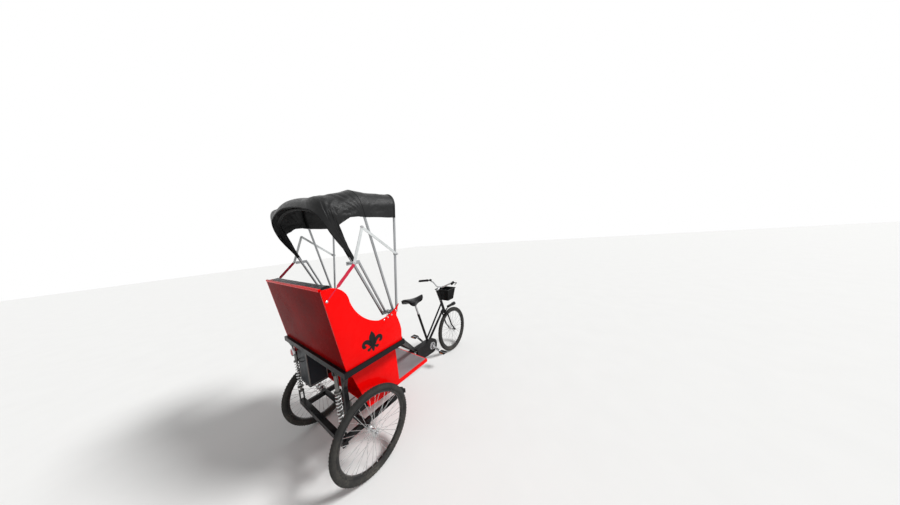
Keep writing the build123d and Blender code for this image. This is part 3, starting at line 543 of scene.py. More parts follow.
dull_steel = finish("dull steel", (0.16, 0.155, 0.15), 0.42, metallic=0.9, vary=0.2, dust=0.35,
                    wear=0.4, bare=RUST)
rubber = finish("tyre rubber", (0.022, 0.0215, 0.021), 0.80, vary=0.25, dust=0.34, dust_height=0.85,
                bump="noise", bump_scale=900, bump_height=0.0004, ior=1.3)
rim_black = finish("black rim", (0.008, 0.008, 0.009), 0.30, coat=0.15, wear=0.3,
                   bare=(0.20, 0.20, 0.20), ior=1.3)
canvas = finish("coated canvas", (0.0115, 0.0120, 0.0125), 0.38, vary=0.22, vary_scale=7, dust=0.06,
                dust_height=2.6, bump="weave", bump_scale=1500, bump_height=0.0004, sheen=0.05,
                ior=1.26)
canvas_edge = finish("canvas binding", (0.005, 0.005, 0.0055), 0.6, dust=0.04, dust_height=2.6,
                     bump="weave", bump_scale=2200, bump_height=0.0004, ior=1.2)
vinyl = finish("black vinyl", (0.006, 0.006, 0.007), 0.34, vary=0.15, dust=0.03, dust_height=1.6,
               bump="grain", bump_scale=420, bump_height=0.0004, ior=1.20)
webbing = finish("red webbing", (0.52, 0.006, 0.040), 0.62, vary=0.12, dust=0.10, dust_height=2.0,
                 bump="weave", bump_scale=2600, bump_height=0.0007, sheen=0.15, ior=1.3)
plastic = finish("black plastic", (0.006, 0.006, 0.0065), 0.40, vary=0.12, dust=0.06, dust_height=1.2,
                 bump="grain", bump_scale=900, bump_height=0.0003, ior=1.24)
mat_rubber = finish("ribbed grey mat", (0.29, 0.285, 0.30), 0.70, vary=0.15, dust=0.5, bump="noise",
                    bump_scale=600, bump_height=0.0005, ior=1.3)
case_paint = finish("grey case", (0.012, 0.015, 0.020), 0.38, vary=0.15, dust=0.10, wear=0.4,
                    bare=(0.20, 0.20, 0.19), ior=1.28)
lamp_red = finish("red lamp", (0.45, 0.006, 0.006), 0.12, coat=0.8, dust=0.10, ior=1.4)
lamp_clear = finish("lamp lens", (0.70, 0.71, 0.69), 0.08, coat=1.0, dust=0.15, bump="noise",
                    bump_scale=250)
amber = finish("amber reflector", (0.70, 0.18, 0.01), 0.15, coat=0.8, dust=0.2, bump="grain",
               bump_scale=800)
ornament_black = finish("ornament paint", (0.005, 0.005, 0.005), 0.35, coat=0.1, vary=0.2, dust=0.03,
                        dust_height=1.4, ior=1.25)

# Finish of each carried-over node, by the record's material slot, and the nodes that differ
SLOT_FINISH = {
    "red_enamel": red_enamel, "black_frame": frame_black, "tyre_rubber": rubber, "black_rim": rim_black,
    "bright_steel": bright_steel, "bow_tube": bow_silver, "canopy_cloth": canvas, "seat_cloth": vinyl,
    "red_webbing": webbing, "black_plastic": plastic, "foot_rubber": mat_rubber, "case_grey": case_paint,
    "lamp_red": lamp_red,
}
# The back panel takes the red enamel darkened as painted shade
NODE_FINISH = {
    "back_panel": red_back_painted_shade, "bicycle_frame": bicycle_black, "fork": bicycle_black,
    "upper_links": link_silver, "lower_links": link_silver, "seat_board": frame_black,
    "swing_frame": frame_black, "dampers": dull_steel, "final_drive": dull_steel,
}
NODE_SLOT = {row["node"]: row["material_slot"] for row in frame["record"]["subparts"]}


def dress_nodes():
    for node, slot in NODE_SLOT.items():
        for holder in frame["nodes"][node].material_slots:
            holder.material = NODE_FINISH.get(node, SLOT_FINISH[slot])


def dress(piece, slot, material, *replaced):
    """Gives a finished piece its finish and the nodes that it stands for."""
    piece.data.materials.clear()
    piece.data.materials.append(material)
    if replaced:
        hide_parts(*replaced)


def add(piece, body, slot, material, *replaced):
    """Dresses a finished piece and lets it ride on its body."""
    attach(piece, body)
    dress(piece, slot, material, *replaced)


# Wheels
# Halves of sections: half width, and distance out from the tyre's outside, or from the axle for the hub
TYRE_SECTION = [
    (0.0125, -0.0437), (0.0200, -0.0350), (0.0228, -0.0250), (0.0222, -0.0150), (0.0185, -0.0080),
    (0.0135, -0.0042), (0.0078, -0.0018), (0.0070, -0.0032), (0.0056, -0.0032), (0.0048, -0.0005),
]
RIM_SECTION = [
    (0.0150, -0.0440), (0.0150, -0.0540), (0.0135, -0.0580), (0.0100, -0.0620), (0.0045, -0.0630),
]
RIM_WELL = [(0.0125, -0.0440), (0.0118, -0.0500)]
HUB_SECTION = [
    (0.0400, 0.0082), (0.0400, 0.0120), (0.0330, 0.0132), (0.0318, 0.0150), (0.0312, 0.0300),
    (0.0282, 0.0300), (0.0272, 0.0205), (0.0240, 0.0178), (0.0080, 0.0165),
]
SPOKE_LEAD, SPOKE_RADIUS = radians(48.0), 0.0016
SPOKE_FOOT, SPOKE_TIP = 0.0255, WHEEL_RADIUS - 0.0632
SPOKE_FOOT_X, SPOKE_TIP_X = 0.0320, 0.0035
LUG_X, LUG_COUNT = 0.0128, 84


def both_ways(section, base=0.0):
    """The closed loop of a section given for one half."""
    half = [(x, base + r) for x, r in section]
    return half + [(-x, r) for x, r in reversed(half)]


def make_tyre():
    """The tyre with slanting lugs along both edges of its tread."""
    tyre = turned("tyre", both_ways(TYRE_SECTION, WHEEL_RADIUS), steps=112)
    lug = block("lug", (LUG_X, 0, WHEEL_RADIUS - 0.0036), (0.0085, 0.0052, 0.0034), 0.0007, 1)
    start_edit(lug)
    bpy.ops.transform.rotate(value=radians(24), orient_axis="Z", center_override=(LUG_X, 0, 0))
    end_edit()
    round_about(lug, LUG_COUNT)
    return joined("tyre", [tyre, lug, mirrored(lug, "other_lug")])


def make_rim():
    outside = both_ways(RIM_SECTION, WHEEL_RADIUS)
    inside = [(x, WHEEL_RADIUS + r) for x, r in RIM_WELL]
    well = [(-x, r) for x, r in inside] + [(x, r) for x, r in reversed(inside)]
    return turned("rim", outside + well, steps=112)


def make_spoked_hub():
    """The hub and 36 crossed spokes, in four rings of nine."""
    pieces = [turned("hub", both_ways(HUB_SECTION), steps=36)]
    for number in range(4):
        side = 1 if number % 2 else -1
        rim_angle = radians(10.0 * number)
        foot_angle = rim_angle - (SPOKE_LEAD if number // 2 else -SPOKE_LEAD)
        p = Vector((side * SPOKE_FOOT_X, SPOKE_FOOT * cos(foot_angle), SPOKE_FOOT * sin(foot_angle)))
        q = Vector((side * SPOKE_TIP_X, SPOKE_TIP * cos(rim_angle), SPOKE_TIP * sin(rim_angle)))
        out = Vector((side, 0, 0))
        ring = joined("spokes", [
            rod("spoke", p, q, SPOKE_RADIUS, sides=6),
            rod("spoke_head", p + out * 0.0018, p - out * 0.001, 0.0027, sides=8),
            rod("nipple", q - (q - p).normalized() * 0.014, q, 0.0022, 0.0028, sides=8)])
        round_about(ring, 9)
        pieces.append(ring)
    return joined("spoked_hub", pieces)


def make_valve():
    foot = Vector((0, 0, 0.062 - WHEEL_RADIUS))
    up = Vector((0, 0, 1))
    return joined("valve", [
        rod("valve_stem", foot, foot + up * 0.028, 0.0028, sides=10),
        rod("valve_cap", foot + up * 0.026, foot + up * 0.040, 0.0040, 0.0032, sides=10),
        rod("valve_nut", foot, foot + up * 0.004, 0.0062, sides=6)])


def make_wheels():
    # Columns: pattern, end of the piece's name, slot, finish, ends of the names of the nodes it stands for
    table = [(make_tyre(), "road_tyre", "tyre_rubber", rubber, ["tyre"]),
             (make_rim(), "rim_ring", "black_rim", rim_black, ["rim"]),
             (make_spoked_hub(), "wire_spokes", "bright_steel", spoke_steel, ["spoked_hub"]),
             (make_valve(), "valve", "bright_steel", bright_steel, [])]
    for side, centre in WHEEL_CENTRES.items():
        for pattern, label, slot, material, nodes in table:
            piece = copied(pattern, f"{side}_{label}", centre)
            add(piece, f"{side}_wheel", slot, material, *[f"{side}_{node}" for node in nodes])
    for row in table:
        bpy.data.objects.remove(row[0])


# Hood
PIVOT_AHEAD, PIVOT_Z = 0.235, 1.205
BOW_RADIUS = 0.010
# Columns: half width, lean back in degrees, top height, crown rise, corner radius, foot behind the pivot
BOWS = {
    "rear": (0.480, 23.5, 2.120, 0.125, 0.160, 0.045),
    "middle": (0.506, 11.8, 2.200, 0.020, 0.130, -0.040),
    "front": (0.532, -5.7, 2.200, 0.030, 0.100, -0.055),
}
CROWN_RADIUS = 1.2
HEM_Z, REAR_HEM_Z, GUSSET_FOOT_Z = 1.978, 1.905, 1.668
REAR_OVERHANG = 0.038
CLOTH_THICKNESS = 0.0016
CLOTH_OFFSET = BOW_RADIUS + 0.0014
SLEEVE_RADIUS = BOW_RADIUS + 0.0012
HINGE = (-0.040, 1.654)
KNEE = (0.052, 1.905)
FRONT_STUD = (0.337, 1.676)
SEGMENT_POINTS = 24
CLOTH_COLUMNS = 110
REAR_STEPS, FRONT_STEPS = 64, 52


def corner(previous, vertex, following, radius, count):
    """Points of the arc that rounds a corner."""
    a, b = (previous - vertex).normalized(), (following - vertex).normalized()
    half = a.angle(b) / 2
    reach = radius / tan(half)
    centre = vertex + (a + b).normalized() * (radius / sin(half))
    first, last = vertex + a * reach - centre, vertex + b * reach - centre
    turn = first.angle(last)
    points = []
    for number in range(count):
        share = number / (count - 1)
        points.append(centre + (first * sin((1 - share) * turn) + last * sin(share * turn)) / sin(turn))
    return points


def bow_outline(bow, overhang=0.0, offset=CLOTH_OFFSET):
    """Line at an offset over a bow's axis, down to the gusset's foot: legs, corners and crown."""
    half, lean, top_z, crown, bend, shift = BOWS[bow]
    lean = radians(lean)
    peak = (top_z - PIVOT_Z) / cos(lean) + offset
    low = (GUSSET_FOOT_Z - PIVOT_Z) / cos(lean)
    w = half + offset
    vertices = [Vector((-w, low)), Vector((-w, peak - crown)), Vector((0, peak)), Vector((w, peak - crown))]
    bent = corner(*vertices[:3], bend + offset, SEGMENT_POINTS)
    top = corner(*vertices[1:], CROWN_RADIUS, 2 * SEGMENT_POINTS + 1)
    shares = [number / SEGMENT_POINTS for number in range(SEGMENT_POINTS)]
    line = [vertices[0].lerp(bent[0], share) for share in shares] + bent
    line += [bent[-1].lerp(top[0], share) for share in shares[1:]] + top[:SEGMENT_POINTS + 1]
    line += [Vector((-point.x, point.y)) for point in reversed(line[:-1])]
    foot = at(0, PIVOT_AHEAD - shift, PIVOT_Z)
    up = Vector((0, sin(lean), cos(lean)))
    places = []
    for point in line:
        place = foot + Vector((point.x, 0, 0)) + up * point.y
        places.append(place + Vector((0, overhang * ease(place.z, GUSSET_FOOT_Z, REAR_HEM_Z), 0)))
    return places


def ease(value, low, high):
    """0 below a range, 1 above it, and a smooth rise within it."""
    share = min(1.0, max(0.0, (value - low) / (high - low)))
    return share * share * (3 - 2 * share)


def bell(value, low, high):
    """0 at both ends and 1 half way."""
    return sin(pi * min(1.0, max(0.0, (value - low) / (high - low))))


def trimmed(line, low_z, count):
    """The part of a symmetric line above a height, as evenly spread points."""
    half = line[:len(line) // 2 + 1]
    start = next(number for number, point in enumerate(half) if point.z >= low_z)
    kept = half[start:]
    if start:
        before, after = half[start - 1], half[start]
        kept = [before.lerp(after, (low_z - before.z) / (after.z - before.z))] + kept
    lengths = [0.0]
    for p, q in zip(kept, kept[1:]):
        lengths.append(lengths[-1] + (q - p).length)
    points, place = [], 0
    for number in range(count):
        want = lengths[-1] * number / (count - 1)
        while place < len(lengths) - 2 and lengths[place + 1] < want:
            place += 1
        step = lengths[place + 1] - lengths[place]
        points.append(kept[place].lerp(kept[place + 1], (want - lengths[place]) / step if step else 0.0))
    return points + [Vector((-point.x, point.y, point.z)) for point in reversed(points[:-1])]


def tension(point, anchor, count, depth, reach, seed):
    """Sharp folds that fan out from a place where the cloth is pulled tight."""
    y, z = point.y - anchor.y, point.z - anchor.z
    distance = sqrt(y * y + z * z) + 1e-6
    angle = atan2(z, y) + 0.16 * noise.noise(Vector((distance * 7, seed, 0)))
    uneven = max(0.0, 0.65 + 0.9 * noise.noise(Vector((angle * 5, seed + 5, 0))))
    crest = 1 - 2 * abs(sin(count * angle / 2 + seed)) ** 0.7
    return depth * uneven * crest * exp(-distance / reach) * min(1.0, distance / 0.05)


def table_value(table, place):
    """Value at a place in a table of (place, value), in straight steps between its rows."""
    for (first, low), (second, high) in zip(table, table[1:]):
        if place <= second:
            return low + (high - low) * (place - first) / (second - first)
    return table[-1][1]


# Side hem from the rear bow (0) to the middle bow (1), with its heights: the gusset, then the roof's hem
REAR_HEM = [
    (0.0, GUSSET_FOOT_Z), (0.105, GUSSET_FOOT_Z), (0.153, 1.771), (0.208, 1.828), (0.236, 1.885),
    (0.252, 1.914), (0.424, 1.937), (0.586, 1.964), (0.815, 1.978), (1.0, HEM_Z),
]
# Places at which the side cloth is pulled tight, and its folds there: ahead, z, count, depth, reach
REAR_FOLDS = [(-0.130, 1.905, 26, 0.0105, 0.16), (0.112, 1.985, 24, 0.0085, 0.15),
              (-0.190, 2.120, 17, 0.0040, 0.10)]
FRONT_FOLDS = [(0.112, 1.985, 20, 0.0065, 0.10), (0.370, 2.170, 13, 0.0030, 0.08)]
REAR_SEED, FRONT_SEED = 3.0, 11.0
RIPPLE, FRONT_SAG = 0.0050, 0.008
# Between the rear and the middle bow the roof stands up: height at the crown, more height at its left and
# at its right corner, and place of the crest
CREST_HEIGHT, CREST_LEFT, CREST_RIGHT, CREST_PLACE = 0.050, 0.040, 0.010, 0.25


def crest_lift(point, share):
    """How far the rear section stands up and back over the straight line between its bows."""
    rise = share / CREST_PLACE * exp(1 - share / CREST_PLACE) * sqrt(1 - share)
    corner_lift = CREST_LEFT if point.x > 0 else CREST_RIGHT
    height = CREST_HEIGHT + corner_lift * bell(abs(point.x), 0.26, 0.62)
    lift = rise * height * ease(point.z, 1.86, 2.04)
    return Vector((0.25 * lift * point.x / BOWS["rear"][0], 0.42 * lift, 0.88 * lift))


def shape_sheet(back, fore, low, folds, steps, lift, seed):
    """Rows of points from one bow to the next, with folds and small ripples between them."""
    rows = []
    for step in range(steps + 1):
        share = step / steps
        line = [p.lerp(q, share) for p, q in zip(back, fore)]
        free = bell(share, 0, 1) ** 0.6
        row = []
        for point in trimmed(line, low(share), CLOTH_COLUMNS // 2 + 1):
            inward = Vector((-point.x, 0, 1.72 - point.z)).normalized()
            upright = ease(abs(point.x), 0.22, 0.44)
            side = 1 if point.x > 0 else 2
            fold = sum(tension(point, at(0, ahead, z), count, depth, reach, seed + side + number)
                       for number, (ahead, z, count, depth, reach) in enumerate(folds))
            ripple = RIPPLE * noise.noise(Vector((point.x * 5 + seed, point.y * 11, point.z * 11)))
            row.append(point + inward * ((fold * upright + ripple) * free) + lift(point, share))
        rows.append(row)
    return rows


def shape_rear():
    back, fore = bow_outline("rear", REAR_OVERHANG), bow_outline("middle")
    return shape_sheet(back, fore, lambda share: table_value(REAR_HEM, share), REAR_FOLDS, REAR_STEPS,
                       crest_lift, REAR_SEED)


def shape_front():
    def sag(point, share):
        return Vector((0, 0, -FRONT_SAG * bell(share, 0, 1) * ease(point.z, 1.95, 2.15)))

    back, fore = bow_outline("middle"), bow_outline("front")
    return shape_sheet(back, fore, lambda share: HEM_Z, FRONT_FOLDS, FRONT_STEPS, sag, FRONT_SEED)


def sheet_from(name, rows):
    """One sheet of cloth through rows of points, from a grid whose vertices are put in place."""
    columns = len(rows[0])
    deselect()
    bpy.ops.mesh.primitive_grid_add(x_subdivisions=columns - 1, y_subdivisions=len(rows) - 1)
    piece = bpy.context.object
    piece.name = name
    places = [point for row in rows for point in row]
    for vertex, point in zip(piece.data.vertices, places):
        vertex.co = point
    start_edit(piece)
    bpy.ops.mesh.normals_make_consistent(inside=False)
    end_edit()
    return piece


def length_of(line):
    return sum((q - p).length for p, q in zip(line, line[1:]))


def thicken(sheet, thickness, degrees, slot, material, node):
    """Gives a sheet of cloth its thickness, its finish and the node that it stands for."""
    modify(sheet, "SOLIDIFY", thickness=thickness, offset=0.0)
    smooth(sheet, degrees)
    dress(sheet, slot, material, node)


def make_canopy():
    # Columns: which sheet, rows, its two bows, mean lean, how far these lie behind and ahead of the pivot
    table = [
        ("rear", shape_rear(), "rear_bow", "middle_bow", radians(17.6), 0.125, 0.118),
        ("front", shape_front(), "middle_bow", "front_bow", radians(3.0), 0.085, 0.172),
    ]
    for label, rows, first, second, lean, behind, ahead in table:
        sheet = sheet_from(f"{label}_canvas", rows)
        thicken(sheet, CLOTH_THICKNESS, 60, "canopy_cloth", canvas, f"canopy_{label}")
        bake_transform(sheet)


def make_bindings():
    """Bound edges of the canvas: along both ends of the roof, and the seam over the middle bow."""
    rear, front = shape_rear(), shape_front()
    inset = [point.lerp(after, 0.35) for point, after in zip(front[-3], front[-4])]
    # Columns: name, line, radius, body
    table = [
        ("rear_binding", rear[0], 0.0040, "rear_bow"), ("front_binding", front[-1], 0.0036, "front_bow"),
        ("front_seam", inset, 0.0020, "front_bow"), ("middle_seam", front[0], 0.0024, "middle_bow"),
    ]
    for name, line, radius, body in table:
        add(hose(name, line, radius, straight=True), body, "canopy_cloth", canvas_edge)


def make_sleeves():
    """Cloth sleeves that hold the canvas on its bows."""
    for bow, low_z in (("rear", 1.700), ("middle", HEM_Z + 0.004), ("front", HEM_Z + 0.004)):
        line = trimmed(bow_outline(bow, offset=0.0), low_z, 60)
        sleeve = hose(f"{bow}_bow_sleeve", line, SLEEVE_RADIUS, straight=True)
        add(sleeve, f"{bow}_bow", "canopy_cloth", canvas_edge)


RIVET = [(0, 0), (0, 0.0095), (0.0018, 0.0095), (0.0022, 0.0062), (0.0052, 0.0042), (0.0058, 0)]
# Columns: name, place, body, how far out of the tub's side its foot lies
RIVETS = [("knee", KNEE, "upper_links", 0.0005), ("hinge", HINGE, "rear_bow", 0.0005),
          ("stud", FRONT_STUD, "front_bow", -0.0010)]


def make_links_hardware():
    """Rivets and washers at the knees, hinges and front studs of the brace."""
    for side, sign in SIDES.items():
        for label, place, body, out in RIVETS:
            rivet = turned(f"{side}_{label}_rivet", RIVET, centre=at(sign * (TUB_HALF_WIDTH + out), *place),
                           axis=(sign, 0, 0), steps=20)
            add(rivet, body, "bow_tube", bright_steel)


STRAP_FOOT = (-0.245, 1.450)
STRAP_WIDTH, CORD_WIDTH, STRAP_THICKNESS = 0.022, 0.0056, 0.0018
STRAP_STEPS = 36
STRAP_STUD = [(0, 0), (0, 0.008), (0.002, 0.008), (0.0045, 0.005), (0.0052, 0)]


def make_straps():
    """Red webbing from the hinge over the panel's top edge, then a narrow cord to its stud."""
    for side, sign in SIDES.items():
        x = sign * (TUB_HALF_WIDTH + STRAP_THICKNESS)
        top, low = at(x, *HINGE), at(x, *STRAP_FOOT)
        run = (low - top).normalized()
        across = run.cross(Vector(X_AXIS)).normalized()
        top = top + run * 0.006
        rows = []
        for step in range(STRAP_STEPS + 1):
            share = step / STRAP_STEPS
            width = STRAP_WIDTH - (STRAP_WIDTH - CORD_WIDTH) * ease(share, 0.60, 0.66)
            wave = Vector((sign * 0.0008 * sin(share * 23), 0, 0))
            rows.append([top.lerp(low, share) + across * (width * k / 8) + wave for k in range(-4, 5)])
        strap = sheet_from(f"{side}_strap", rows)
        thicken(strap, STRAP_THICKNESS, 50, "red_webbing", webbing, "hood_straps")
        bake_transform(strap)
        stud_place = at(sign * (TUB_HALF_WIDTH + 0.0004), *STRAP_FOOT)
        stud = turned(f"{side}_strap_stud", STRAP_STUD, centre=stud_place, axis=(sign, 0, 0), steps=20)
        add(stud, "chassis", "bright_steel", bright_steel)


# Cushions
PAD_PRESSURE, PAD_STIFFNESS, PAD_FRAMES = 4.0, 25.0, 20
PAD_SWELL, PAD_VOXEL = 0.012, 0.0095
SEAM_WIDTH = 0.010
# Seams of the pads: axis index and place. The back pad has them all, the seat pad the first three.
SEAMS = [(0, 0.0), (1, -0.10), (1, 0.06), (1, 0.21)]
BACK_LEAN, BACK_DEPTH = atan2(0.090, 0.569), 0.088


def relax(piece):
    """Fills a pad by a short cloth simulation, and keeps each point near its start."""
    starts = [vertex.co.copy() for vertex in piece.data.vertices]
    only(piece)
    cloth = piece.modifiers.new("cloth", "CLOTH")
    cloth.settings.use_pressure = True
    cloth.settings.uniform_pressure_force = PAD_PRESSURE
    cloth.settings.effector_weights.gravity = 0.0
    cloth.settings.tension_stiffness = PAD_STIFFNESS
    cloth.settings.compression_stiffness = PAD_STIFFNESS
    scene = bpy.context.scene
    for number in range(1, PAD_FRAMES + 1):
        scene.frame_set(number)
    bpy.ops.object.modifier_apply(modifier=cloth.name)
    scene.frame_set(1)
    for vertex, begin in zip(piece.data.vertices, starts):
        moved = vertex.co - begin
        if moved.length > PAD_SWELL:
            vertex.co = begin + moved.normalized() * PAD_SWELL


def sew(piece, seams, depth):
    """Sewn channels: the pad's faces are drawn in along its seams."""
    for vertex in piece.data.vertices:
        pull = 0.0
        for axis, place in seams:
            gap = (vertex.co[axis] - place) / SEAM_WIDTH
            pull = max(pull, exp(-gap * gap))
        if pull > 0.01:
            vertex.co.z -= depth * pull * (1 if vertex.co.z > 0 else -0.3)


def make_pad(name, size, seams, depth, turn, place, node):
    """A stuffed and sewn pad, turned about X and put in its place."""
    piece = block(name, (0, 0, 0), size, min(size) * 0.28, 4)
    modify(piece, "REMESH", mode="VOXEL", voxel_size=PAD_VOXEL)
    relax(piece)
    sew(piece, seams, depth)
    start_edit(piece)
    if turn:
        bpy.ops.transform.rotate(value=turn, orient_axis="X", center_override=(0, 0, 0))
    bpy.ops.transform.translate(value=place)
    end_edit()
    modify(piece, "SUBSURF", levels=1, render_levels=1)
    smooth(piece, 60)
    add(piece, "chassis", "seat_cloth", vinyl, node)


def make_cushions():
    low, high = box("seat_cushion")
    size = high - low
    make_pad("seat_pad", (size.x - 0.024, size.y - 0.030, size.z - 0.020), SEAMS[:3], 0.010, 0.0,
             middle("seat_cushion") + Vector((0, -0.004, 0)), "seat_cushion")
    # The back cushion lies along the leaning back panel
    low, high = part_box("back_cushion")
    height = (high[2] - low[2]) / cos(BACK_LEAN)
    middle_z = (low[2] + high[2]) / 2
    middle_y = high[1] - tan(BACK_LEAN) * (high[2] - middle_z) - 0.5 * BACK_DEPTH / cos(BACK_LEAN)
    make_pad("back_pad", (high[0] - low[0] - 0.024, height - 0.030, BACK_DEPTH - 0.014), SEAMS, 0.012,
             BACK_LEAN - pi / 2, (0, middle_y, middle_z), "back_cushion")


# Tub fittings and ornament
# Halves and parts of the ornament in millimetres, as (ahead, up) from its foot
PETAL = [(0, 158), (9, 142), (22, 124), (27, 102), (21, 82), (11, 66), (8, 57)]
CURL = [(7, 55), (9, 72), (19, 90), (36, 104), (56, 108), (74, 101), (85, 85), (86, 66), (76, 51),
        (61, 49), (50, 56), (54, 66), (62, 68), (62, 75), (54, 79), (44, 73), (34, 62), (27, 54)]
TAIL = [(0, 50), (9, 49), (15, 35), (11, 16), (0, -4)]
SIDE_TAIL = [(10, 50), (19, 46), (29, 37), (41, 38), (49, 29), (42, 18), (29, 16), (18, 26), (8, 42)]
BAND = [(-30, 47), (-30, 58), (0, 59), (30, 58), (30, 47), (0, 46)]
ORNAMENT_FOOT = (0.025, 0.991)


def flat_shape(points, sign, flip=1):
    """A thin raised plate on the side panel, from a smooth outline."""
    line = curve("plate", [(u / 1000, v / 1000, 0) for u, v in points], closed=True)
    line.data.dimensions = "2D"
    line.data.fill_mode = "BOTH"
    line.data.extrude = 0.0006
    only(line)
    bpy.ops.object.convert(target="MESH")
    plate = bpy.context.object
    ahead, foot_z = ORNAMENT_FOOT
    for vertex in plate.data.vertices:
        u, v, w = vertex.co
        vertex.co = at(sign * (TUB_HALF_WIDTH + 0.0005 + w), ahead + flip * u, foot_z + v)
    start_edit(plate)
    bpy.ops.mesh.remove_doubles(threshold=1e-6)
    bpy.ops.mesh.normals_make_consistent(inside=False)
    end_edit()
    return plate


def make_ornament():
    """Own-drawn lily on each side panel, an old ornament."""
    petal = PETAL + [(-u, v) for u, v in reversed(PETAL[1:])]
    tail = TAIL + [(-u, v) for u, v in reversed(TAIL[1:-1])]
    for side, sign in SIDES.items():
        plates = [flat_shape(points, sign) for points in (petal, tail, BAND)]
        plates += [flat_shape(points, sign, flip) for flip in (1, -1) for points in (CURL, SIDE_TAIL)]
        add(joined(f"{side}_lily", plates), "chassis", "red_enamel", ornament_black)


PANEL_THICKNESS = 0.012
# Outline of a side panel: how far ahead, height, and whether it is the middle point of an arc
PANEL_EDGE = [
    (-0.184, 0.955, False), (-0.274, 1.524, False), (-0.212, 1.526, False), (-0.146, 1.495, True),
    (-0.105, 1.410, False), (-0.030, 1.275, True), (0.100, 1.194, False), (0.205, 1.208, True),
    (0.300, 1.264, False), (0.275, 1.222, True), (0.262, 1.176, False), (0.284, 1.112, True),
    (0.297, 1.040, False), (0.290, 0.955, False),
]


def arc_points(first, through, last, count):
    """Points of the arc through three places of a plane, without its first one."""
    (ax, ay), (bx, by), (cx, cy) = first, through, last
    d = 2 * (ax * (by - cy) + bx * (cy - ay) + cx * (ay - by))
    a2, b2, c2 = ax * ax + ay * ay, bx * bx + by * by, cx * cx + cy * cy
    centre = Vector(((a2 * (by - cy) + b2 * (cy - ay) + c2 * (ay - by)) / d,
                     (a2 * (cx - bx) + b2 * (ax - cx) + c2 * (bx - ax)) / d))
    begin, end = Vector(first) - centre, Vector(last) - centre
    turn = begin.angle_signed(end)
    points = []
    for number in range(1, count + 1):
        angle = -turn * number / count
        points.append(centre + Vector((begin.x * cos(angle) - begin.y * sin(angle),
                                       begin.x * sin(angle) + begin.y * cos(angle))))
    return points


def make_side_panels():
    """High rounded back corner, scooped edge, and the arm rest that rises to a point."""
    line = []
    for number, (ahead, z, on_arc) in enumerate(PANEL_EDGE):
        if on_arc:
            line += arc_points(PANEL_EDGE[number - 1][:2], (ahead, z), PANEL_EDGE[number + 1][:2], 20)
        elif not PANEL_EDGE[number - 1][2]:
            line.append(Vector((ahead, z)))
    for side, sign in SIDES.items():
        panel = wire(f"{side}_tub_side", [at(sign * TUB_HALF_WIDTH, *place) for place in line])
        start_edit(panel)
        bpy.ops.mesh.edge_face_add()
        bpy.ops.mesh.select_all(action="SELECT")
        bpy.ops.mesh.extrude_region_move(TRANSFORM_OT_translate={"value": (-sign * PANEL_THICKNESS, 0, 0)})
        bpy.ops.mesh.select_all(action="SELECT")
        bpy.ops.mesh.normals_make_consistent(inside=False)
        end_edit()
        modify(panel, "BEVEL", width=0.0012, segments=2, limit_method="ANGLE", angle_limit=radians(50))
        smooth(panel, 30)
        add(panel, "chassis", "red_enamel", red_enamel, f"{side}_side_panel")


BOLT_PLACES = [(0.143, 1.184), (0.180, 1.190), (0.217, 1.197), (0.262, 1.216)]
BOLT = [(0, 0), (0, 0.006), (0.0012, 0.006), (0.0030, 0.0045), (0.0042, 0.0021), (0.0044, 0)]
RIB_STEP = 0.0098


def make_tub_fittings():
    for side, sign in SIDES.items():
        bolts = [turned("bolt", BOLT, centre=at(sign * TUB_HALF_WIDTH, *place), axis=(sign, 0, 0), steps=16)
                 for place in BOLT_PLACES]
        add(joined(f"{side}_panel_bolts", bolts), "chassis", "bright_steel", bright_steel)
    # Rolled upper edge of the back panel
    low, high = box("back_panel")
    y = high.y - 0.004
    line = [(low.x + 0.004, y, high.z - 0.001), (0, y, high.z), (high.x - 0.004, y, high.z - 0.001)]
    add(hose("back_panel_roll", line, 0.0105), "chassis", "red_enamel", red_enamel)
    # Ribs of the mat, modelled once and repeated
    low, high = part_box("foot_mat")
    rib = block("mat_ribs", ((low[0] + high[0]) / 2, low[1] + 0.012, MAT_TOP + 0.0006),
                (high[0] - low[0] - 0.012, 0.0048, 0.0026), 0.0008, 1)
    modify(rib, "ARRAY", count=int((high[1] - low[1] - 0.020) / RIB_STEP), use_relative_offset=False,
           use_constant_offset=True, constant_offset_displace=(0, RIB_STEP, 0))
    add(rib, "chassis", "foot_rubber", mat_rubber)


def make_battery_edges():
    """Metal along the case's corners, a band near its foot and its top, and a handle behind it."""
    low, high = box("battery_case")
    centre, size = (low + high) / 2, high - low
    trims = []
    for sx in (-1, 1):
        for sy in (-1, 1):
            place = centre + Vector((sx * (size.x / 2 - 0.004), sy * (size.y / 2 - 0.004), 0))
            trims.append(block("edge", place, (0.0098, 0.0098, size.z - 0.03), 0.0020))
    for sz in (-1, 1):
        place = centre + Vector((0, 0, sz * (size.z / 2 - 0.014)))
        trims.append(block("band", place, (size.x + 0.003, size.y + 0.003, 0.0050), 0.0012))
    add(joined("battery_edges", trims), "chassis", "bright_steel", dull_steel)
    near, far, z = high.y - 0.002, high.y + 0.024, centre.z + 0.06
    line = [(centre.x + x, y, z) for x, y in ((-0.045, near), (-0.045, far), (0.045, far), (0.045, near))]
    add(hose("battery_handle", line, 0.004), "chassis", "black_plastic", plastic)


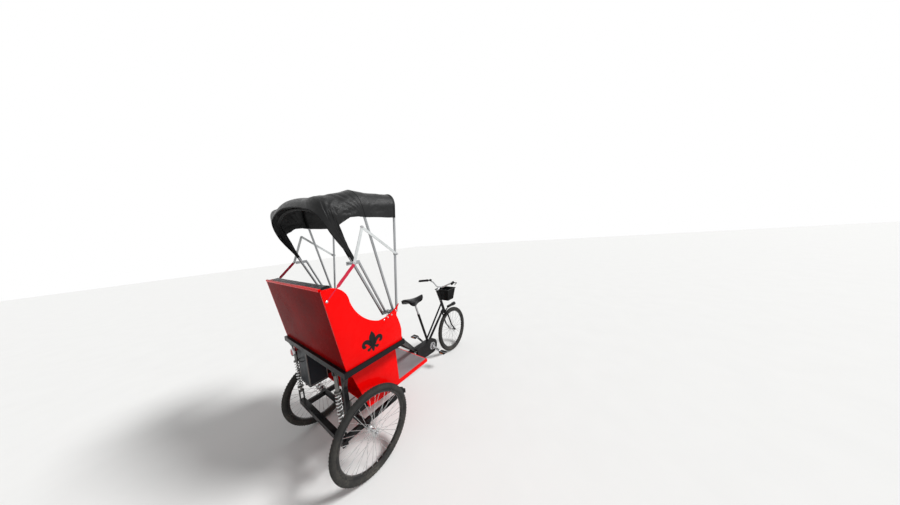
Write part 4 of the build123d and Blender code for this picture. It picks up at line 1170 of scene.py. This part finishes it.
# Profiles of the lamps, as (along, radius) from the face of each lamp
TAIL_BEZEL = [(-0.010, 0.0325), (-0.010, 0.0345), (0.010, 0.0345), (0.0125, 0.0330), (0.0125, 0.0300),
              (0.0105, 0.0300), (0.0105, 0.0325)]
TAIL_LENS = [(0.010, 0), (0.010, 0.0305), (0.0135, 0.0285), (0.0165, 0.0200), (0.0178, 0.0100), (0.0182, 0)]
HEAD_RIM = [(-0.001, 0.0235), (-0.001, 0.0268), (0.012, 0.0268), (0.012, 0.0262), (0.002, 0.0235)]
HEAD_LENS = [(0.002, 0), (0.002, 0.0236), (-0.001, 0.0225), (-0.0016, 0.012), (-0.0018, 0)]


def make_lamps():
    low, high = box("tail_lamp")
    tail = Vector(((low.x + high.x) / 2, high.y - 0.012, low.z + 0.032))
    low, high = box("head_lamp")
    head = Vector((0, low.y, high.z - 0.026))
    # Columns: name, profile, place, body, material slot, finish
    table = [("lamp_bezel", TAIL_BEZEL, tail, "chassis", "bright_steel", bright_steel),
             ("tail_lens", TAIL_LENS, tail, "chassis", "lamp_red", lamp_red),
             ("lamp_rim", HEAD_RIM, head, "fork", "bright_steel", bright_steel),
             ("lamp_lens", HEAD_LENS, head, "fork", "black_plastic", lamp_clear)]
    for name, profile, place, body, slot, material in table:
        add(turned(name, profile, centre=place, axis=(0, 1, 0), steps=40), body, slot, material)


# Springs and drive
COIL_RADIUS = 0.0185
COIL_EDGE = COIL_RADIUS + 0.004


def coil(name, foot, radius, wire_radius, height, turns, points_per_turn):
    """A coil spring that stands on its foot."""
    count = round(turns * points_per_turn)
    points = []
    for number in range(count + 1):
        angle = 2 * pi * number / points_per_turn
        points.append(foot + Vector((radius * cos(angle), radius * sin(angle), height * number / count)))
    return hose(name, points, wire_radius, rings=1)


def make_springs():
    low, high = box("springs")
    height = high.z - low.z - 0.010
    coils = []
    for x in (low.x + COIL_EDGE, high.x - COIL_EDGE):
        foot = Vector((x, (low.y + high.y) / 2, low.z + 0.005))
        coils.append(coil("coil", foot, COIL_RADIUS, 0.0040, height, 9, 14))
    add(joined("coil_springs", coils), "chassis", "bright_steel", spoke_steel, "springs")


CRANK = (1.175, 0.333)
CHAIN_X, SPIDER_X = -0.052, -0.0712
CHAIN_WHEEL_RADIUS, SPROCKET_RADIUS = 0.0667, 0.0407
CHAIN_WHEEL_TEETH, SPROCKET_TEETH = 33, 20
TOOTH = (0.0022, 0.0045, 0.008)
LINK_PITCH = 0.0127
ARC_STEPS = 16


def chain_path():
    """Closed path round the chain wheel and the sprocket, as points."""
    front, rear = at(CHAIN_X, *CRANK), at(CHAIN_X, 0, WHEEL_RADIUS)
    away = rear - front
    tilt = atan2(away.z, away.y)
    wrap = pi / 2 + (CHAIN_WHEEL_RADIUS - SPROCKET_RADIUS) / away.length
    points = []
    for centre, radius, middle_angle, half in ((front, CHAIN_WHEEL_RADIUS, tilt + pi, wrap),
                                               (rear, SPROCKET_RADIUS, tilt, pi - wrap)):
        for number in range(ARC_STEPS + 1):
            angle = middle_angle - half + 2 * half * number / ARC_STEPS
            points.append(centre + Vector((0, radius * cos(angle), radius * sin(angle))))
    return points


def make_chain():
    """One pair of links, modelled once, repeated and laid along the path."""
    points = chain_path()
    length = length_of(points + points[:1])
    pairs = round(length / (2 * LINK_PITCH))
    pitch = length / pairs / 2
    parts = []
    for offset, gap in ((0.0, 0.0024), (pitch, 0.0038)):
        for side in (-1, 1):
            place = (offset + pitch / 2, side * gap, 0)
            parts.append(block("plate", place, (pitch * 1.28, 0.0011, 0.0085), 0.0005, 1))
        parts.append(rod("roller", (offset, -0.0040, 0), (offset, 0.0040, 0), 0.0038, sides=8))
    link = joined("drive_chain", parts)
    path = curve("chain_path", points, closed=True, straight=True)
    modify(link, "ARRAY", count=pairs, use_relative_offset=False, use_constant_offset=True,
           constant_offset_displace=(2 * pitch, 0, 0))
    modify(link, "CURVE", object=path, deform_axis="POS_X")
    bpy.data.objects.remove(path)
    add(link, "chassis", "bright_steel", dull_steel, "chain")


def make_drive():
    """Teeth, rim and bright spider of the chain wheel, and the teeth of the sprocket."""
    tooth = block("tooth", (CHAIN_X, 0, 0.0655), TOOTH, 0.0006, 1)
    round_about(tooth, CHAIN_WHEEL_TEETH)
    rim = turned("wheel_rim", [(-0.0011, 0.052), (-0.0011, 0.064), (0.0011, 0.064), (0.0011, 0.052)],
                 centre=(CHAIN_X, 0, 0), steps=66)
    ring = turned("spider_ring", [(-0.0012, 0.040), (-0.0012, 0.049), (0.0012, 0.050), (0.0012, 0.039)],
                  centre=(SPIDER_X, 0, 0), steps=60)
    arm = rod("spider", (SPIDER_X, 0, 0.012), (SPIDER_X, 0, 0.044), 0.0055, 0.004, sides=8)
    round_about(arm, 5)
    wheel = shifted(joined("chain_wheel", [tooth, rim, ring, arm]), at(0, *CRANK))
    add(wheel, "crank", "bright_steel", bright_steel)
    teeth = block("sprocket_teeth", (0, 0, 0.0395), TOOTH, 0.0006, 1)
    round_about(teeth, SPROCKET_TEETH)
    add(shifted(teeth, at(CHAIN_X, 0, WHEEL_RADIUS)), "chassis", "bright_steel", dull_steel)


def make_pedals():
    """Two ribbed rubbers between the plates of a cage, with amber reflectors and a bright axle."""
    for side, sign in SIDES.items():
        low, high = box(f"{side}_pedal")
        centre = (low + high) / 2
        inner, outer = (low.x, high.x) if sign > 0 else (high.x, low.x)

        def place(out, y=0.0):
            return centre + Vector((sign * out, y, 0))

        black, amber_parts = [], []
        for way in (-1, 1):
            y = way * 0.0235
            black.append(block("tread", place(0.004, y), (0.078, 0.0170, 0.0200), 0.004))
            black += [block("rib", place(0.004 + 0.011 * number, y), (0.0045, 0.0182, 0.0218), 0.001, 1)
                      for number in range(-3, 4)]
            face = place(0.004, way * 0.0322)
            amber_parts.append(block("reflector", face, (0.046, 0.0014, 0.012), 0.0005, 1))
        black += [block("cage", place(out), (0.004, 0.064, 0.016), 0.0015) for out in (0.046, -0.038)]
        ends = [(x, centre.y, centre.z) for x in (inner, outer - sign * 0.006, outer)]
        axle = [rod("axle", ends[0], ends[2], 0.0062, sides=20),
                rod("end_cap", ends[1], ends[2], 0.0092, sides=20)]
        body = f"{side}_pedal"
        add(joined(f"{side}_pedal_rubbers", black), body, "black_plastic", plastic, f"{side}_pedal")
        add(joined(f"{side}_pedal_axle", axle), body, "bright_steel", bright_steel)
        add(joined(f"{side}_pedal_reflectors", amber_parts), body, "lamp_red", amber)


# Bicycle fittings
# The rails under the saddle: aside, place along it from its nose or its rear edge, height over its foot
RAIL = [(0.012, "nose", 0.045, 0.026), (0.016, "nose", 0.12, 0.012), (0.024, "rear", -0.12, 0.008),
        (0.052, "rear", -0.062, 0.006)]


def make_saddle():
    """Wide at the back, narrow nose, crowned top and turned-down sides, from a subdivided cube."""
    low, high = box("saddle")
    deselect()
    bpy.ops.mesh.primitive_cube_add(size=2)
    saddle = bpy.context.object
    saddle.name = "sprung_saddle"
    start_edit(saddle)
    bpy.ops.mesh.subdivide(number_cuts=11)
    end_edit()
    length, half, centre_x = high.y - low.y, (high.x - low.x) / 2, (low.x + high.x) / 2
    for vertex in saddle.data.vertices:
        u, v, w = vertex.co
        share = (v + 1) / 2
        wide = half * (0.24 + 0.76 * ease(share, 0.28, 0.86)) * (1.0 - 0.16 * ease(share, 0.90, 1.0))
        wide *= sqrt(max(0.05, 1 - max(0.0, 0.10 - share) ** 2 * 70)) * (1 - 0.06 * (1 - w) / 2)
        top = high.z - 0.003 + 0.010 * ease(share, 0.62, 1.0) - 0.010 * sin(pi * share)
        side_drop = 0.026 * (u * u) ** 1.3 * (0.6 + 0.4 * share)
        thickness = (0.056 - 0.006 * share) * (1 - 0.42 * max(0.0, abs(v) - 0.80) / 0.20)
        vertex.co = (centre_x + u * wide, low.y + share * length, top - side_drop - thickness * (1 - w) / 2)
    modify(saddle, "SUBSURF", levels=1, render_levels=1)
    smooth(saddle, 50)
    add(saddle, "chassis", "seat_cloth", vinyl, "saddle")
    springs = []
    ends = {"nose": low.y, "rear": high.y}
    for sign in (-1, 1):
        foot = Vector((centre_x + sign * 0.052, high.y - 0.060, low.z + 0.003))
        springs.append(coil("saddle_spring", foot, 0.014, 0.0026, 0.0363, 3.3, 10))
        rail = [(centre_x + sign * aside, ends[end] + y, low.z + z) for aside, end, y, z in RAIL]
        springs.append(hose("saddle_rail", rail, 0.0035))
    add(joined("saddle_springs", springs), "chassis", "bright_steel", bright_steel)


BASKET_AHEAD, BASKET_TOP = 1.645, 1.000


def make_basket_wires():
    """Rings round the basket and uprights on its four sides. It narrows to its foot."""
    foot_z, centre_y = box("basket")[0].z, REAR_AXLE_Y - BASKET_AHEAD

    def half_size(z):
        share = (z - foot_z) / (BASKET_TOP - foot_z)
        return 0.085 + 0.035 * share + 0.0022, 0.065 + 0.030 * share + 0.0022

    wires = []
    for number in range(7):
        z = foot_z + 0.004 + (BASKET_TOP - 0.016 - foot_z) * number / 6
        a, b = half_size(z)
        line = [(x, centre_y + y, z) for x, y in ((-a, -b), (a, -b), (a, b), (-a, b))]
        wires.append(hose("ring", line, 0.0018, closed=True, straight=True, rings=1))
    for side in range(4):
        for number in range(-4, 5):
            k = number / 4.5
            ends = []
            for z in (foot_z + 0.002, BASKET_TOP - 0.010):
                a, b = half_size(z)
                x, y = ((k * a, -b), (k * a, b), (-a, k * b), (a, k * b))[side]
                ends.append((x, centre_y + y, z))
            wires.append(rod("upright", *ends, 0.0016, sides=6))
    add(joined("basket_wires", wires), "fork", "black_plastic", plastic)


HEAD_ANGLE, RAKE, STEM_HEIGHT, STEM_REACH = radians(72.0), 0.045, 0.748, 0.062
GRIP_LENGTH, RIB_COUNT = 0.128, 11
GRIP_RIB = [(-0.0022, 0.0155), (-0.0012, 0.0172), (0.0012, 0.0172), (0.0022, 0.0155)]
GRIP_COLLAR = [(-0.003, 0.0155), (-0.003, 0.0195), (0.002, 0.0195), (0.004, 0.0155)]
BELL = [(0, 0), (0, 0.022), (0.003, 0.0235), (0.010, 0.0222), (0.017, 0.016), (0.021, 0.008), (0.0222, 0)]


def steering_point(height, ahead=0.0):
    """Place at a height along the steering axis and a distance ahead of it."""
    front = WHEEL_CENTRES["front"]
    reach = RAKE - ahead
    return Vector((0, front.y + reach * sin(HEAD_ANGLE) + height * cos(HEAD_ANGLE),
                   front.z - reach * cos(HEAD_ANGLE) + height * sin(HEAD_ANGLE)))


def make_bar_fittings():
    """Ribs and a collar on each grip, the cover of the stem, and a small bell on the bar."""
    clamp = steering_point(STEM_HEIGHT, STEM_REACH)
    for side, sign in SIDES.items():
        stop = clamp + Vector((sign * 0.300, 0.100, 0.095))
        run = (stop - clamp - Vector((sign * 0.225, -0.045, 0.080))).normalized()
        low = stop - run * GRIP_LENGTH
        ribs = [turned("rib", GRIP_RIB, centre=low + run * (0.012 + number * 0.0105), axis=run, steps=24)
                for number in range(RIB_COUNT)]
        ribs.append(turned("collar", GRIP_COLLAR, centre=low + run * 0.004, axis=run, steps=24))
        add(joined(f"{side}_grip_ribs", ribs), "fork", "black_plastic", plastic)
    foot, top = steering_point(STEM_HEIGHT - 0.176), steering_point(STEM_HEIGHT - 0.006)
    length = (top - foot).length
    profile = [(0, 0.0172), (0, 0.0205), (0.014, 0.0210), (0.018, 0.0186), (length - 0.010, 0.0180),
               (length, 0.0172)]
    cover = turned("stem_cover", profile, centre=foot, axis=top - foot, steps=36)
    add(cover, "fork", "black_plastic", plastic)
    bell_place = clamp + Vector((0.196, -0.030, 0.082))
    small_bell = turned("bell", BELL, centre=bell_place, axis=(0, 0.2, 1), steps=32)
    add(small_bell, "fork", "black_plastic", plastic)


set_camera()
set_light()
make_floor()
dress_nodes()
make_wheels()
make_canopy()
make_bindings()
make_sleeves()
make_links_hardware()
make_straps()
make_cushions()
make_side_panels()
make_ornament()
make_tub_fittings()
make_battery_edges()
make_lamps()
make_springs()
make_chain()
make_drive()
make_pedals()
make_saddle()
make_basket_wires()
make_bar_fittings()
